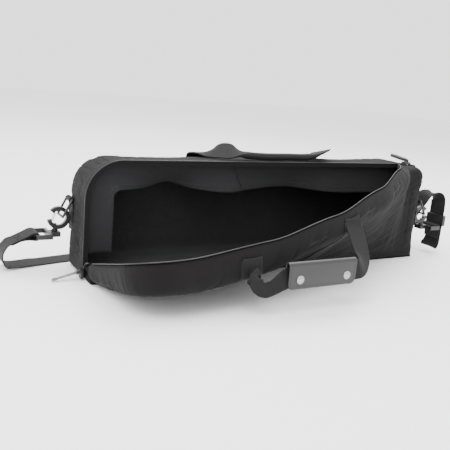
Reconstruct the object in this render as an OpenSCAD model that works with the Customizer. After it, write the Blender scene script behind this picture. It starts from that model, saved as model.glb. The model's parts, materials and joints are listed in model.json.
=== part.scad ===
// Soft carry case with a padded body, a long zipped lid, two webbing handles
// and a removable shoulder strap. It stands on its bottom with the lid folded down.
// +X runs along the case, +Y to its back panel, +Z up. The origin is on the bottom
// face, at mid length, in the plane of the zipped mouth.

/* [Case] */
// Length of the case
case_l = 700; // [660:5:740]
// Height of the case
case_h = 190; // [180:1:200]
// Depth from the mouth plane to the back
tray_d = 84; // [78:1:90]
// Depth of the closed lid in front of the mouth plane
lid_d = 38; // [34:1:42]
// Radius of the mouth's big corner
corner_r = 60; // [50:1:70]
// Radius of the other top corner
end_r = 25; // [20:1:30]

/* [Padding] */
// Thickness of the outer fabric
skin_t = 2; // [1.5:0.1:2.5]
// Thickness of the foam
foam_t = 6; // [4:0.5:7]
// Thickness of the lining
lining_t = 1.5; // [1:0.1:2]
// Width of the zip guard flap
flap_w = 40; // [30:1:45]
// Thickness of the zip guard flap
flap_t = 1.2; // [0.8:0.1:1.5]

/* [Lid] */
// How far the lid's free end is folded down, in degrees
open_max = 74; // [60:1:78]
// Where the lid starts to fold, measured from mid length
fold_x = 300; // [290:1:305]
// Gap between neighbouring lid pieces
seg_gap = 0.4; // [0.2:0.1:0.6]

/* [Webbing] */
// Width of the webbing
web_w = 38; // [36:1:40]
// Thickness of the webbing
web_t = 1.8; // [1.4:0.1:2]
// Length of the front handle's grip wrap
wrap_l = 126; // [110:1:130]
// Height of the grip wrap
wrap_h = 40; // [36:1:42]

/* [Hardware] */
// Inner radius of the snap hook
hook_r = 12; // [11:0.5:12.5]
// Radial thickness of the snap hook
hook_t = 6.5; // [5:0.5:7]
// Length of the metal zip pull
pull_l = 40; // [30:1:45]
// Length of the rubber zip pull
tab_l = 38; // [30:1:42]

/* [Hidden] */
$fn = 48;

// small clearance between pieces that move apart
gap = 0.3;
half_l = case_l / 2;
// wall thickness of skin and foam, then of the whole stack
core_t = skin_t + foam_t;
wall_t = core_t + lining_t;
// the zip's two tapes meet this far in front of the mouth plane
zip_y = -6;
tape_w = 5.7;
tape_t = 1.2;
coil_t = 2.6;
// axis that the lid folds about, along the bottom front edge
fold_y = 1 - lid_d;
fold_z = skin_t + 2.5;
// the lid's upright part starts just above the axis
lid_z0 = fold_z + gap;
// lid pieces, from the closed end to the free end
bounds = [fold_x, 190, 75, -60, -200, -half_l];
fold_l = half_l + fold_x;
function fold_at(x) = open_max * pow(max(0, 1 - pow((x + half_l) / fold_l, 2)), 0.75);
// fold angle of each lid piece, taken at its middle; the last one is the free end
fold_deg = [for (i = [0:4]) round(fold_at((bounds[i] + bounds[i + 1]) / 2) * 10) / 10];
// the end wall of the lid starts where the big corner ends
corner_z = case_h - corner_r;

web_c = "#2b2729";
shell_c = "#2e2a2c";
grey_c = "#4a4a4d";
black_c = "#1c1c1f";
steel_c = "#c8cacc";

// ---------- shared shapes ----------

// side outline of the case, moved in by d, in X and Z
module outline(d) {
  r1 = max(corner_r - d, 1);
  r2 = max(end_r - d, 1);
  l = -half_l + d;
  r = half_l - d;
  t = case_h - d;
  difference() {
    translate([l, d]) square([r - l, t - d]);
    translate([l, t - r1]) square(r1);
    translate([r - r2, t - r2]) square(r2);
  }
  translate([l + r1, t - r1]) circle(r1);
  translate([r - r2, t - r2]) circle(r2);
}

// a shape drawn in X and Z, given depth from y0 to y1
module deep(y0, y1) {
  translate([0, y1, 0]) rotate([90, 0, 0]) linear_extrude(y1 - y0) children();
}

// a band that follows the outline, between two insets
module band(d0, d1, y0, y1) {
  deep(y0, y1) difference() {
    outline(d0);
    outline(d1);
  }
}

module block(x0, x1, y0, y1, z0, z1) {
  translate([x0, y0, z0]) cube([x1 - x0, y1 - y0, z1 - z0]);
}

// a piece of what follows, between two X and two Z limits
module part_of(x0, x1, z0, z1) {
  intersection() {
    children();
    block(x0, x1, -lid_d - 1, tray_d + 1, z0, z1);
  }
}

function unit(v) = v / norm(v);
function tangent(p, i) = unit(p[min(i + 1, len(p) - 1)] - p[max(i - 1, 0)]);

// flat webbing along a path; side(i) is the direction of its width at each point
module ribbon(path, side, w = web_w, t = web_t) {
  rings = [for (i = [0:len(path) - 1])
    let (s = unit(side[i]), n = unit(cross(tangent(path, i), s)))
      [path[i] - s * w / 2 - n * t / 2, path[i] + s * w / 2 - n * t / 2,
       path[i] + s * w / 2 + n * t / 2, path[i] - s * w / 2 + n * t / 2]];
  points = [for (r = rings) for (p = r) p];
  last = 4 * (len(path) - 1);
  faces = concat(
    [[0, 1, 2, 3]],
    [for (i = [0:len(path) - 2]) for (k = [0:3])
      [4 * i + k, 4 * i + 4 + k, 4 * i + 4 + (k + 1) % 4, 4 * i + (k + 1) % 4]],
    [[last + 3, last + 2, last + 1, last]]);
  polyhedron(points, faces, convexity = 6);
}

// the same width direction at every point of a path
function same(path, s) = [for (p = path) s];

// ---------- padded body ----------

module back_panel() {
  color(shell_c) deep(tray_d - skin_t, tray_d) outline(0);
}

module top_gusset() {
  color(shell_c) part_of(-half_l, fold_x, skin_t, case_h) band(0, skin_t, 0, tray_d - skin_t);
}

module bottom_panel() {
  color(shell_c) block(-half_l, half_l, -lid_d, tray_d - skin_t, 0, skin_t);
}

module right_end_panel() {
  color(shell_c) part_of(fold_x, half_l, skin_t, case_h)
    band(0, skin_t, -lid_d + skin_t, tray_d - skin_t);
}

module front_fixed_panel() {
  color(shell_c) part_of(fold_x, half_l, skin_t, case_h) deep(-lid_d, -lid_d + skin_t) outline(0);
}

module foam_band(x0, x1, z0, z1, y0 = 0) {
  color(grey_c) part_of(x0, x1, z0, z1) band(skin_t, core_t, y0, tray_d - core_t);
}

module back_foam() {
  color(grey_c) deep(tray_d - core_t, tray_d - skin_t) outline(skin_t);
}

module top_foam() {
  foam_band(-half_l + corner_r, fold_x, case_h / 2, case_h);
}

module left_end_foam() {
  foam_band(-half_l, -half_l + corner_r, core_t, case_h);
}

module bottom_foam() {
  foam_band(-half_l, half_l, skin_t, core_t);
  color(grey_c) block(-half_l + wall_t + gap, fold_x, fold_y + 11, 0, skin_t, core_t);
}

module right_end_foam() {
  foam_band(fold_x, half_l, core_t, case_h, -lid_d + core_t);
  color(grey_c) part_of(fold_x, half_l, core_t, case_h)
    deep(-lid_d + skin_t, -lid_d + core_t) outline(skin_t);
}

module tray_lining() {
  color("#5a5a5e") {
    band(core_t, wall_t, flap_t, tray_d - wall_t);
    deep(tray_d - wall_t, tray_d - core_t) outline(core_t);
  }
}

// the flap hangs from the rim at the top and at the left end; the bottom has none
flap_z0 = 40;

module zip_guard_flap() {
  color("#6b6b70") difference() {
    part_of(-half_l, fold_x, flap_z0, case_h) band(core_t, core_t + flap_w, 0, flap_t);
    block(-half_l + core_t + flap_w, fold_x + 1, -1, flap_t + 1, 0, 2 * flap_z0);
  }
}

// one side of the zip: woven tape with the coil on its edge
module zip_side(x0, x1, z0, z1, y0, y1, coil_y) {
  color(black_c) part_of(x0, x1, z0, z1) {
    band(0.4, 0.4 + tape_t, y0, y1);
    band(0, coil_t, coil_y - 1.1, coil_y + 1.1);
  }
}

module tray_zip() {
  zip_side(-half_l, fold_x, 12, case_h, zip_y + gap / 2, 0, zip_y + 1.4);
}

module zip_end_tab() {
  color(web_c) translate([half_l - end_r * 0.3, zip_y, case_h - end_r * 0.3]) rotate([0, 45, 0])
    translate([-8, -9, gap]) cube([16, 18, 2.4]);
}

// ---------- lid ----------

// fold a closed lid piece down by its own angle
module folded(deg) {
  translate([0, fold_y, fold_z]) rotate([deg, 0, 0]) translate([0, -fold_y, -fold_z]) children();
}

// keep what lies in lid piece i, above the fold axis
module lid_cut(i) {
  x0 = i == 5 ? -half_l : bounds[i] + seg_gap / 2;
  folded(fold_deg[i - 1]) part_of(x0, bounds[i - 1] - seg_gap / 2, lid_z0, case_h) children();
}

// keep what lies in the upright end wall of the lid
module end_cut() {
  folded(fold_deg[4]) part_of(-half_l, -half_l + wall_t, lid_z0 + 1, corner_z - gap) children();
}

module top_part() {
  intersection() {
    children();
    block(-half_l, half_l, -lid_d - 1, 1, corner_z, case_h);
  }
}

module lid_panel(i) {
  color(shell_c) lid_cut(i) {
    deep(-lid_d, -lid_d + skin_t) outline(0);
    top_part() band(0, skin_t, -lid_d + skin_t, zip_y - tape_w);
  }
}

module lid_padding(i) {
  color(grey_c) lid_cut(i) {
    deep(-lid_d + skin_t, -lid_d + wall_t) outline(skin_t);
    top_part() band(skin_t, wall_t, -lid_d + wall_t, zip_y - tape_w);
  }
}

module lid_zip(i) {
  color(black_c) lid_cut(i) top_part() {
    band(0.4, 0.4 + tape_t, zip_y - tape_w, zip_y - gap / 2);
    band(0, coil_t, zip_y - 2.5, zip_y - 0.3);
  }
}

module lid_panel_1() lid_panel(1);
module lid_panel_2() lid_panel(2);
module lid_panel_3() lid_panel(3);
module lid_panel_4() lid_panel(4);
module lid_panel_5() lid_panel(5);
module lid_padding_1() lid_padding(1);
module lid_padding_2() lid_padding(2);
module lid_padding_3() lid_padding(3);
module lid_padding_4() lid_padding(4);
module lid_padding_5() lid_padding(5);
module lid_zip_1() lid_zip(1);
module lid_zip_2() lid_zip(2);
module lid_zip_3() lid_zip(3);
module lid_zip_4() lid_zip(4);
module lid_zip_5() lid_zip(5);

module lid_end_panel() {
  color(shell_c) end_cut() band(0, skin_t, -lid_d + wall_t + gap, zip_y - tape_w);
}

module lid_end_padding() {
  color(grey_c) end_cut() band(skin_t, wall_t, -lid_d + wall_t + gap, zip_y - tape_w);
}

module lid_end_zip() {
  color(black_c) end_cut() {
    band(0.4, 0.4 + tape_t, zip_y - tape_w, zip_y - gap / 2);
    band(0, coil_t, zip_y - 2.5, zip_y - 0.3);
  }
}

// ---------- zip sliders and pulls ----------

slider_w = 11;
slider_l = 14;
slider_h = 5;
// the rim slider rides this far above the zip, clear of the lid as it swings shut
slider_up = 1.2;
// the corner slider waits at the bottom of the left end
corner_slider_z = 8;
rim_slider_x = 322;
pull_t = 2;
pull_w = 9;
pull_pin_r = 1.2;
// where each pull turns on its slider
metal_pin = [-half_l - slider_h - 4, zip_y, corner_slider_z + 5];
rubber_pin = [rim_slider_x, zip_y, case_h + slider_h + 3.4];
// the metal pull points out from the case and down to the floor
metal_drop = 14;

module corner_slider() {
  color(steel_c) {
    block(-half_l - slider_h, -half_l - gap, zip_y - slider_w / 2, zip_y + slider_w / 2,
      corner_slider_z - slider_l / 2 + 2, corner_slider_z + slider_l / 2 + 2);
    translate(metal_pin) {
      rotate([90, 0, 0]) cylinder(r = pull_pin_r, h = 7, center = true);
      for (s = [-1, 1]) translate([1.5, s * 3.2, 0]) cube([6.4, 1.2, 3], center = true);
    }
  }
}

module metal_pull() {
  color(steel_c) translate(metal_pin) rotate([0, -metal_drop, 0])
    difference() {
      union() {
        translate([-pull_l / 2 - 1, 0, 0]) cube([pull_l - 6, 5, pull_t], center = true);
        translate([-4.6, 0, 0]) cube([3.2, 5, pull_t + 0.01], center = true);
        translate([-pull_l + 3, 0, 0]) cylinder(r = pull_w / 2, h = pull_t, center = true);
        rotate([90, 0, 0]) difference() {
          cylinder(r = 3.4, h = 4.4, center = true);
          cylinder(r = pull_pin_r + 0.3, h = 6, center = true);
        }
      }
      translate([-pull_l + 3, 0, 0]) cylinder(r = 2.4, h = 5, center = true);
    }
}

module rim_slider() {
  color(black_c) {
    block(rim_slider_x - slider_l / 2, rim_slider_x + slider_l / 2, zip_y - slider_w / 2,
      zip_y + slider_w / 2, case_h + slider_up, case_h + slider_h);
    translate(rubber_pin) {
      rotate([0, 90, 0]) cylinder(r = pull_pin_r, h = 9, center = true);
      for (s = [-1, 1]) translate([s * 4.2, 0, -1.6]) cube([1.4, 3.4, 5.4], center = true);
    }
  }
}

module rubber_pull() {
  color(black_c) translate(rubber_pin) rotate([6, 0, 0]) {
    rotate([0, 90, 0]) difference() {
      cylinder(r = 2.6, h = 6, center = true);
      cylinder(r = pull_pin_r + 0.3, h = 8, center = true);
    }
    translate([0, 6.8, 0]) cube([6, 9, 3], center = true);
    translate([0, 8 + tab_l / 2 - 4, 0]) cube([12, tab_l - 8, 5], center = true);
    translate([0, tab_l, 0]) cylinder(r = 6, h = 5, center = true);
    translate([0, 8, 0]) cylinder(r = 6, h = 5, center = true);
  }
}

// ---------- back handle ----------

// where the back handle's legs leave the case, at mid width
back_leg_x = [-118, 138];
// where they reach the grip
back_grip_x = [-58, 112];
grip_r = 7;
handle_y = tray_d + 3;
handle_z = case_h - 0.5;

module back_handle_bands() {
  color(web_c) for (x = back_leg_x)
    block(x - web_w / 2, x + web_w / 2, tray_d, tray_d + web_t, 30, case_h - 4);
}

module back_leg(x0, x1) {
  translate([0, 0, case_h + 1]) linear_extrude(2.6)
    polygon([[x0 - web_w / 2, handle_y - 4], [x0 + web_w / 2, handle_y - 4],
      [x1 + 15, 9], [x1 - 15, 9]]);
}

module back_handle() {
  color(web_c) {
    back_leg(back_leg_x[0], back_grip_x[0]);
    back_leg(back_leg_x[1], back_grip_x[1]);
    translate([back_grip_x[0] - 14, 8.5, case_h + 1 + grip_r]) rotate([0, 90, 0])
      cylinder(r = grip_r, h = back_grip_x[1] - back_grip_x[0] + 28);
  }
}

// ---------- front handle ----------

// the wrap hangs in front of the lid's front edge
wrap_x = -124;
wrap_y = -236;
wrap_z = 42;
wrap_t = 13;
// where the front handle swings on the lid
swing = [0, -206, 93];
// the legs are folded narrower than the webbing
leg_w = 30;
left_leg = [[-168, -223, 66], [-172, -228, 50], [-150, -233, 40], [-128, -236, 56],
  [wrap_x + 14, wrap_y, 60]];
right_leg = [[40, -198, 97], [34, -214, 80], [20, -235, 64], [wrap_x + wrap_l - 12, wrap_y, 60]];
left_side = [[1, 0, 0], [0.9, 0, -0.45], [0.5, 0.5, -0.7], [0.2, 0, 1], [0, 0, 1]];
right_side = [[1, 0, 0], [1, 0, 0.4], [0.5, 0, 0.9], [0, 0, 1]];

module front_handle() {
  color(web_c) {
    ribbon(left_leg, left_side, leg_w, 3);
    ribbon(right_leg, right_side, leg_w, 3);
    block(wrap_x + 2, wrap_x + wrap_l - 2, wrap_y - 3, wrap_y + 3, wrap_z + 4, wrap_z + wrap_h - 4);
  }
}

// the wrap's back half and its folded top edge
module grip_wrap() {
  color(grey_c) {
    block(wrap_x, wrap_x + wrap_l, wrap_y + 3 + gap, wrap_y + 3 + gap + 2.5, wrap_z, wrap_z + wrap_h);
    block(wrap_x, wrap_x + wrap_l, wrap_y - 3, wrap_y + 3 + gap, wrap_z + wrap_h - 3.4,
      wrap_z + wrap_h);
  }
}

flap_pin = [0, wrap_y - 4.5, wrap_z + wrap_h - 1];

// the flap hangs from the fold and snaps down over the webbing
module grip_flap() {
  color(grey_c) deep(wrap_y - 3 - gap - 2.5, wrap_y - 3 - gap) difference() {
    translate([wrap_x, wrap_z]) square([wrap_l, wrap_h - 1]);
    translate([wrap_x, wrap_z]) square(8);
    translate([wrap_x + wrap_l - 8, wrap_z]) square(8);
  }
  color(grey_c) for (x = [wrap_x + 8, wrap_x + wrap_l - 8]) translate([x, 0, wrap_z + 8])
    translate([0, wrap_y - 3 - gap, 0]) rotate([90, 0, 0]) cylinder(r = 8, h = 2.5);
}

module snap_caps() {
  color(steel_c) for (x = [wrap_x + 20, wrap_x + wrap_l - 18])
    translate([x, wrap_y - 5.5 - gap, wrap_z + 14]) rotate([90, 0, 0]) cylinder(r = 6.5, h = 2);
}

// ---------- rings, snap hooks and strap ----------

// middle of each hook's ring, and how far the strap's ends are from it
left_hook_at = [-half_l - 22, 60, 86];
right_hook_at = [half_l + 24, -18, 86];
hook_w = 7;
ring_r = 2;
ring_half = 14;
ring_pin_z = 117;
// the loose bar of a ring, from the hook's middle
ring_bar = [3, 0, 4];
stem_x = -6;
stem_r = 3;
base_z = -26;
base_t = 8;
base_l = 16;
frame_l = 26;
frame_w = web_w + 8;
mouth_lo = 138;
mouth_hi = 190;

// both ends are the same, mirrored
module at_left() translate(left_hook_at) children();
module at_right() translate(right_hook_at) mirror([1, 0, 0]) children();

// the ring turns in its tab; it hangs down into the hook
module ring(pin_dx) {
  color(black_c) {
    for (y = [-ring_half, ring_half]) hull() {
      translate([pin_dx, y, ring_pin_z - left_hook_at[2]]) sphere(r = ring_r, $fn = 16);
      translate([ring_bar[0], y, ring_bar[2]]) sphere(r = ring_r, $fn = 16);
    }
    for (p = [[pin_dx, ring_pin_z - left_hook_at[2]], [ring_bar[0], ring_bar[2]]])
      translate([p[0], 0, p[1]]) rotate([90, 0, 0])
        cylinder(r = ring_r, h = 2 * ring_half, center = true);
  }
}

// a folded piece of webbing holds the ring on the end of the case
module ring_tab(pin_dx) {
  color(web_c) difference() {
    union() {
      translate([pin_dx, 0, ring_pin_z - left_hook_at[2]]) rotate([90, 0, 0])
        cylinder(r = 4.4, h = 22, center = true);
      translate([pin_dx, -11, ring_pin_z - left_hook_at[2] - 4.4]) cube([22 - pin_dx, 22, 8.8]);
    }
    translate([pin_dx, 0, ring_pin_z - left_hook_at[2]]) rotate([90, 0, 0])
      cylinder(r = ring_r + 0.3, h = 30, center = true);
    translate([pin_dx - 6, -12, ring_pin_z - left_hook_at[2] - 12]) cube([22 - pin_dx, 24, 7.2]);
  }
}

function polar(r, a) = [r * cos(a), r * sin(a)];

// the hook's ring with its mouth cut out, on a stem that turns in the base
module hook() {
  color(black_c) {
    rotate([90, 0, 0]) linear_extrude(hook_w, center = true) difference() {
      circle(hook_r + hook_t);
      circle(hook_r);
      polygon([[0, 0], polar(40, mouth_lo), polar(40, mouth_hi)]);
    }
    translate([stem_x, 0, base_z - base_t / 2]) cylinder(r = stem_r, h = base_t + 13);
    translate([stem_x, 0, base_z + base_t / 2 + gap]) cylinder(r = stem_r + 2, h = 3);
  }
}

gate_r = 1.2;
gate_a = mouth_hi + 5;
gate_in = hook_r - 1.8;
gate_pin = polar(gate_in, gate_a);
gate_tip = polar(gate_in, mouth_lo - 8);

// spring wire that closes the mouth from inside
module gate() {
  color(steel_c) {
    translate([gate_pin[0], 0, gate_pin[1]]) rotate([90, 0, 0])
      cylinder(r = gate_r, h = hook_w - 1, center = true);
    for (y = [-1.6, 1.6]) hull() for (p = [gate_pin, gate_tip])
      translate([p[0], y, p[1]]) sphere(r = gate_r, $fn = 16);
  }
}

// the base takes the stem in a bore and the webbing in a slot
module hook_base() {
  color(black_c) translate([stem_x, 0, base_z]) difference() {
    union() {
      translate([-base_l / 2, -9, -base_t / 2]) cube([base_l, 18, base_t]);
      translate([-base_l / 2 - frame_l, -frame_w / 2, -base_t / 2])
        cube([frame_l + 0.01, frame_w, base_t]);
    }
    cylinder(r = stem_r + 0.05, h = base_t + 2, center = true);
    translate([-base_l / 2 - frame_l + 5, -web_w / 2 - 1, -base_t])
      cube([frame_l - 10, web_w + 2, 2 * base_t]);
  }
}

module left_ring_tab() at_left() ring_tab(17);
module right_ring_tab() at_right() ring_tab(19);
module left_ring() at_left() ring(17);
module right_ring() at_right() ring(19);
module left_hook() at_left() hook();
module right_hook() at_right() hook();
module left_gate() at_left() gate();
module right_gate() at_right() gate();
module left_hook_base() at_left() hook_base();
module right_hook_base() at_right() hook_base();

// the strap leaves each base at this point
left_end = left_hook_at + [stem_x - base_l / 2 - frame_l - 1.2, 0, base_z];
right_end = right_hook_at + [-stem_x + base_l / 2 + frame_l + 1.2, 0, base_z];
floor_z = 1.2;
run_y = tray_d + 30;
run_x = 300;

left_path = [left_end, left_end + [-14, 1, -2], [-452, 66, 46], [-460, 70, 34], [-460, 74, 20],
  [-452, 80, 8], [-438, 86, 2.4], [-420, 91, floor_z], [-390, 99, floor_z], [-350, 107, floor_z],
  [-run_x - 0.2, run_y, floor_z]];
right_path = [right_end, right_end + [6, 0, -6], [424, -17, 34], [417, -15, 18], [424, -13, 14],
  [431, -12, 24], [434, -10, 60], [438, -6, 112], [434, 0, 124], [424, 8, 126], [414, 18, 114],
  [404, 40, 70], [394, 68, 24], [384, 84, 6], [370, 96, floor_z], [342, 107, floor_z],
  [run_x + 0.2, run_y, floor_z]];

module strap_left_loop() {
  color(web_c) ribbon(left_path, same(left_path, [0, 1, 0]));
}

module strap_right_loop() {
  color(web_c) ribbon(right_path, same(right_path, [0, 1, 0]));
}

module strap_floor_run() {
  color(web_c) block(-run_x, run_x, run_y - web_w / 2, run_y + web_w / 2, floor_z - web_t / 2,
    floor_z + web_t / 2);
}

// the tri-glide sits on the strap's straight rise at the right
glide_lo = right_path[6];
glide_hi = right_path[7];
glide_dir = unit(glide_hi - glide_lo);
glide_at = glide_lo + glide_dir * 12;
glide_l = 22;

module glide_frame() {
  translate(glide_at) multmatrix([
    [1, 0, glide_dir[0], 0],
    [0, 1, glide_dir[1], 0],
    [0, 0, glide_dir[2], 0]])
    children();
}

module tri_glide() {
  color(black_c) difference() {
    glide_frame() translate([-4, -frame_w / 2, -glide_l / 2]) cube([8, frame_w, glide_l]);
    glide_frame() translate([-1.5, -web_w / 2 - 1.2, -glide_l]) cube([3, web_w + 2.4, 2 * glide_l]);
  }
}

module strap_tag() {
  color("#d2691e") translate(right_path[5] + [-3.4, 2 - web_w / 2, 5]) cube([1.4, 5, 12]);
}

back_panel();
top_gusset();
bottom_panel();
right_end_panel();
front_fixed_panel();
back_foam();
top_foam();
left_end_foam();
bottom_foam();
right_end_foam();
tray_lining();
zip_guard_flap();
tray_zip();
zip_end_tab();
back_handle_bands();
left_ring_tab();
right_ring_tab();
left_hook_base();
right_hook_base();
strap_left_loop();
strap_floor_run();
strap_right_loop();
strap_tag();
lid_panel_1();
lid_panel_2();
lid_panel_3();
lid_panel_4();
lid_panel_5();
lid_end_panel();
lid_padding_1();
lid_padding_2();
lid_padding_3();
lid_padding_4();
lid_padding_5();
lid_end_padding();
lid_zip_1();
lid_zip_2();
lid_zip_3();
lid_zip_4();
lid_zip_5();
lid_end_zip();
corner_slider();
metal_pull();
rim_slider();
rubber_pull();
back_handle();
front_handle();
grip_wrap();
grip_flap();
snap_caps();
left_ring();
left_hook();
left_gate();
right_ring();
right_hook();
right_gate();
tri_glide();
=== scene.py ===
"""Looks of the soft carry case: padded shell, folded lid, webbing, zip and hardware."""

import json
import math

import bmesh
import bpy
import numpy as np
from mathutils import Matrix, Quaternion, Vector, noise
from mathutils.bvhtree import BVHTree

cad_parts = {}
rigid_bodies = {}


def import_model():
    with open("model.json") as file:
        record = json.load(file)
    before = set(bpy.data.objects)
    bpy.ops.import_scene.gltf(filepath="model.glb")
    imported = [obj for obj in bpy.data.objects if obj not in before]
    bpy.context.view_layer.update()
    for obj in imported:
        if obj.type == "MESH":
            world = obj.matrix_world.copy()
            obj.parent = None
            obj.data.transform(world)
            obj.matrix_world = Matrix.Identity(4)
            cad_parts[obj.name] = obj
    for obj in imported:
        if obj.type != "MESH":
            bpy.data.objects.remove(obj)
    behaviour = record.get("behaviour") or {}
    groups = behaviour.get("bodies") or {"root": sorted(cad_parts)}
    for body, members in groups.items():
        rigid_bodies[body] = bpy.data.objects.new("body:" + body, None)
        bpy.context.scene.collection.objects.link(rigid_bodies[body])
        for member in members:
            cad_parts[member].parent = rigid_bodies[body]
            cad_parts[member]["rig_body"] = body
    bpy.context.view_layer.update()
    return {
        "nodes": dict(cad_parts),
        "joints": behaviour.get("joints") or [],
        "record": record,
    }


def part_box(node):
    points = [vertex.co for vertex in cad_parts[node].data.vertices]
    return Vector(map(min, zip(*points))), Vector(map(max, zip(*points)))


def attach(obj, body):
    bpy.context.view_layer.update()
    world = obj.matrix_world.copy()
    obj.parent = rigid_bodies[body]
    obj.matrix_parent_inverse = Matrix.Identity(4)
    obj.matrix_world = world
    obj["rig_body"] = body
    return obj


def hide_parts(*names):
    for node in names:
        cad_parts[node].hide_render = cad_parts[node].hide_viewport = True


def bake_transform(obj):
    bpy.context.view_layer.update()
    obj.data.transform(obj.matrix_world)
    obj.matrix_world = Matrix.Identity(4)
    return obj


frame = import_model()
record = frame["record"]
joint = {j["name"]: j for j in frame["joints"]}
ratio = {c["joint"]: c["ratio"] for c in record["behaviour"]["couplings"]}


def lo(node):
    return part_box(node)[0]


def hi(node):
    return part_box(node)[1]


# ---------- sizes of the case, read from its solids ----------

HALF = hi("back_panel").x
TOP = hi("back_panel").z
BACK = hi("back_panel").y
FRONT = lo("front_fixed_panel").y
FIXED_X = lo("front_fixed_panel").x
BIG_R = lo("top_foam").x + HALF
SMALL_R = 0.025
FOOT_R = 0.008
SKIN = 0.002
WALL = 0.0095
ZIP_Y = lo("tray_zip").y - 0.00015
RIM_GAP = 0.0014
FOLD = np.array(joint["lid_fold"]["pos_m"], float)
FULL = math.radians(-joint["lid_fold"]["range_deg"][0])

# the lid bends from knot to knot: each knot is the middle of a stiff lid piece
knot_x, knot_a = [FIXED_X], [0.0]
for i in range(1, 6):
    knot_x.append((lo(f"lid_panel_{i}").x + hi(f"lid_panel_{i}").x) / 2)
    knot_a.append(knot_a[-1] + ratio[f"lid_bend_{i}"] * FULL)

# how far the lid's soft front hangs out at its slackest place
BELLY = 0.016
# how far the opened lid keeps to an even bend, which leaves the closed lid a little uneven
EVEN = 0.65
# an inside face lies at least this far in from the outer skin
INSIDE = 0.0055
VOXEL = 0.0045


def ease(t):
    t = np.clip(t, 0, 1)
    return t * t * (3 - 2 * t)


def fold_angle(x):
    a = np.zeros(np.shape(x))
    for i in range(5):
        a = a + (knot_a[i + 1] - knot_a[i]) * ease((x - knot_x[i]) / (knot_x[i + 1] - knot_x[i]))
    return a


def even_angle(x):
    """The same fold without steps: a smooth line through the middles of the steps."""
    kx = np.array(knot_x[::-1] + [HALF])
    ka = np.array(knot_a[::-1] + [0.0])
    x = np.asarray(x, float)
    out = np.zeros(x.shape)
    for s in np.linspace(-0.035, 0.035, 15):
        out = out + np.interp(x + s, kx, ka)
    return out / 15


def turn(p, a):
    """Points turned about the lid's fold line by a, in radians; positive folds down."""
    q = np.array(p, float)
    y, z = q[..., 1] - FOLD[1], q[..., 2] - FOLD[2]
    q[..., 1] = FOLD[1] + y * np.cos(a) - z * np.sin(a)
    q[..., 2] = FOLD[2] + y * np.sin(a) + z * np.cos(a)
    return q


def lay_open(p):
    """Points of the closed lid, moved to where the opened lid lies."""
    p = np.array(p, float)
    x = p[..., 0]
    fade = ease((HALF - 0.035 - x) / 0.05)
    stepped = fold_angle(x)
    return turn(p, stepped + EVEN * fade * (even_angle(x) - stepped))


# ---------- mesh helpers ----------


def new_object(name, data):
    obj = bpy.data.objects.new(name, data)
    bpy.context.scene.collection.objects.link(obj)
    return obj


def add_mesh(name, verts, faces, uvs=None):
    mesh = bpy.data.meshes.new(name)
    mesh.from_pydata([tuple(v) for v in np.asarray(verts, float)], [], faces)
    if uvs is not None:
        layer = mesh.uv_layers.new(name="cloth")
        loop_v = np.zeros(len(mesh.loops), int)
        mesh.loops.foreach_get("vertex_index", loop_v)
        layer.data.foreach_set("uv", np.asarray(uvs, float)[loop_v].ravel())
    mesh.polygons.foreach_set("use_smooth", [True] * len(mesh.polygons))
    return new_object(name, mesh)


def mesh_points(obj):
    co = np.zeros(len(obj.data.vertices) * 3)
    obj.data.vertices.foreach_get("co", co)
    return co.reshape(-1, 3)


def mesh_normals(obj):
    n = np.zeros(len(obj.data.vertices) * 3)
    obj.data.vertices.foreach_get("normal", n)
    return n.reshape(-1, 3)


def set_points(obj, co):
    obj.data.vertices.foreach_set("co", np.asarray(co, np.float32).ravel())
    obj.data.update()


def fix_normals(obj):
    bm = bmesh.new()
    bm.from_mesh(obj.data)
    bmesh.ops.recalc_face_normals(bm, faces=bm.faces)
    bm.to_mesh(obj.data)
    bm.free()


def with_modifier(obj, kind, **values):
    """obj with one modifier applied to its mesh."""
    mod = obj.modifiers.new(kind.lower(), kind)
    for key, value in values.items():
        setattr(mod, key, value)
    dg = bpy.context.evaluated_depsgraph_get()
    done = bpy.data.meshes.new_from_object(obj.evaluated_get(dg))
    obj.modifiers.clear()
    obj.data = done
    return obj


def join(name, objs):
    """Several meshes as one object."""
    verts, faces, mats, smooth, uvs, slots = [], [], [], [], [], []
    for o in objs:
        base = len(verts)
        verts += [o.matrix_world @ v.co for v in o.data.vertices]
        local = []
        for m in o.data.materials:
            if m not in slots:
                slots.append(m)
            local.append(slots.index(m))
        layer = o.data.uv_layers.active
        for poly in o.data.polygons:
            faces.append([base + k for k in poly.vertices])
            mats.append(local[poly.material_index] if local else 0)
            smooth.append(poly.use_smooth)
            for li in poly.loop_indices:
                uvs.append(tuple(layer.data[li].uv) if layer else (0.0, 0.0))
    mesh = bpy.data.meshes.new(name)
    mesh.from_pydata([tuple(v) for v in verts], [], faces)
    layer = mesh.uv_layers.new(name="cloth")
    layer.data.foreach_set("uv", np.array(uvs, float).ravel())
    for m in slots:
        mesh.materials.append(m)
    mesh.polygons.foreach_set("material_index", mats)
    mesh.polygons.foreach_set("use_smooth", smooth)
    obj = new_object(name, mesh)
    for o in objs:
        bpy.data.objects.remove(o)
    return obj


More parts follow.
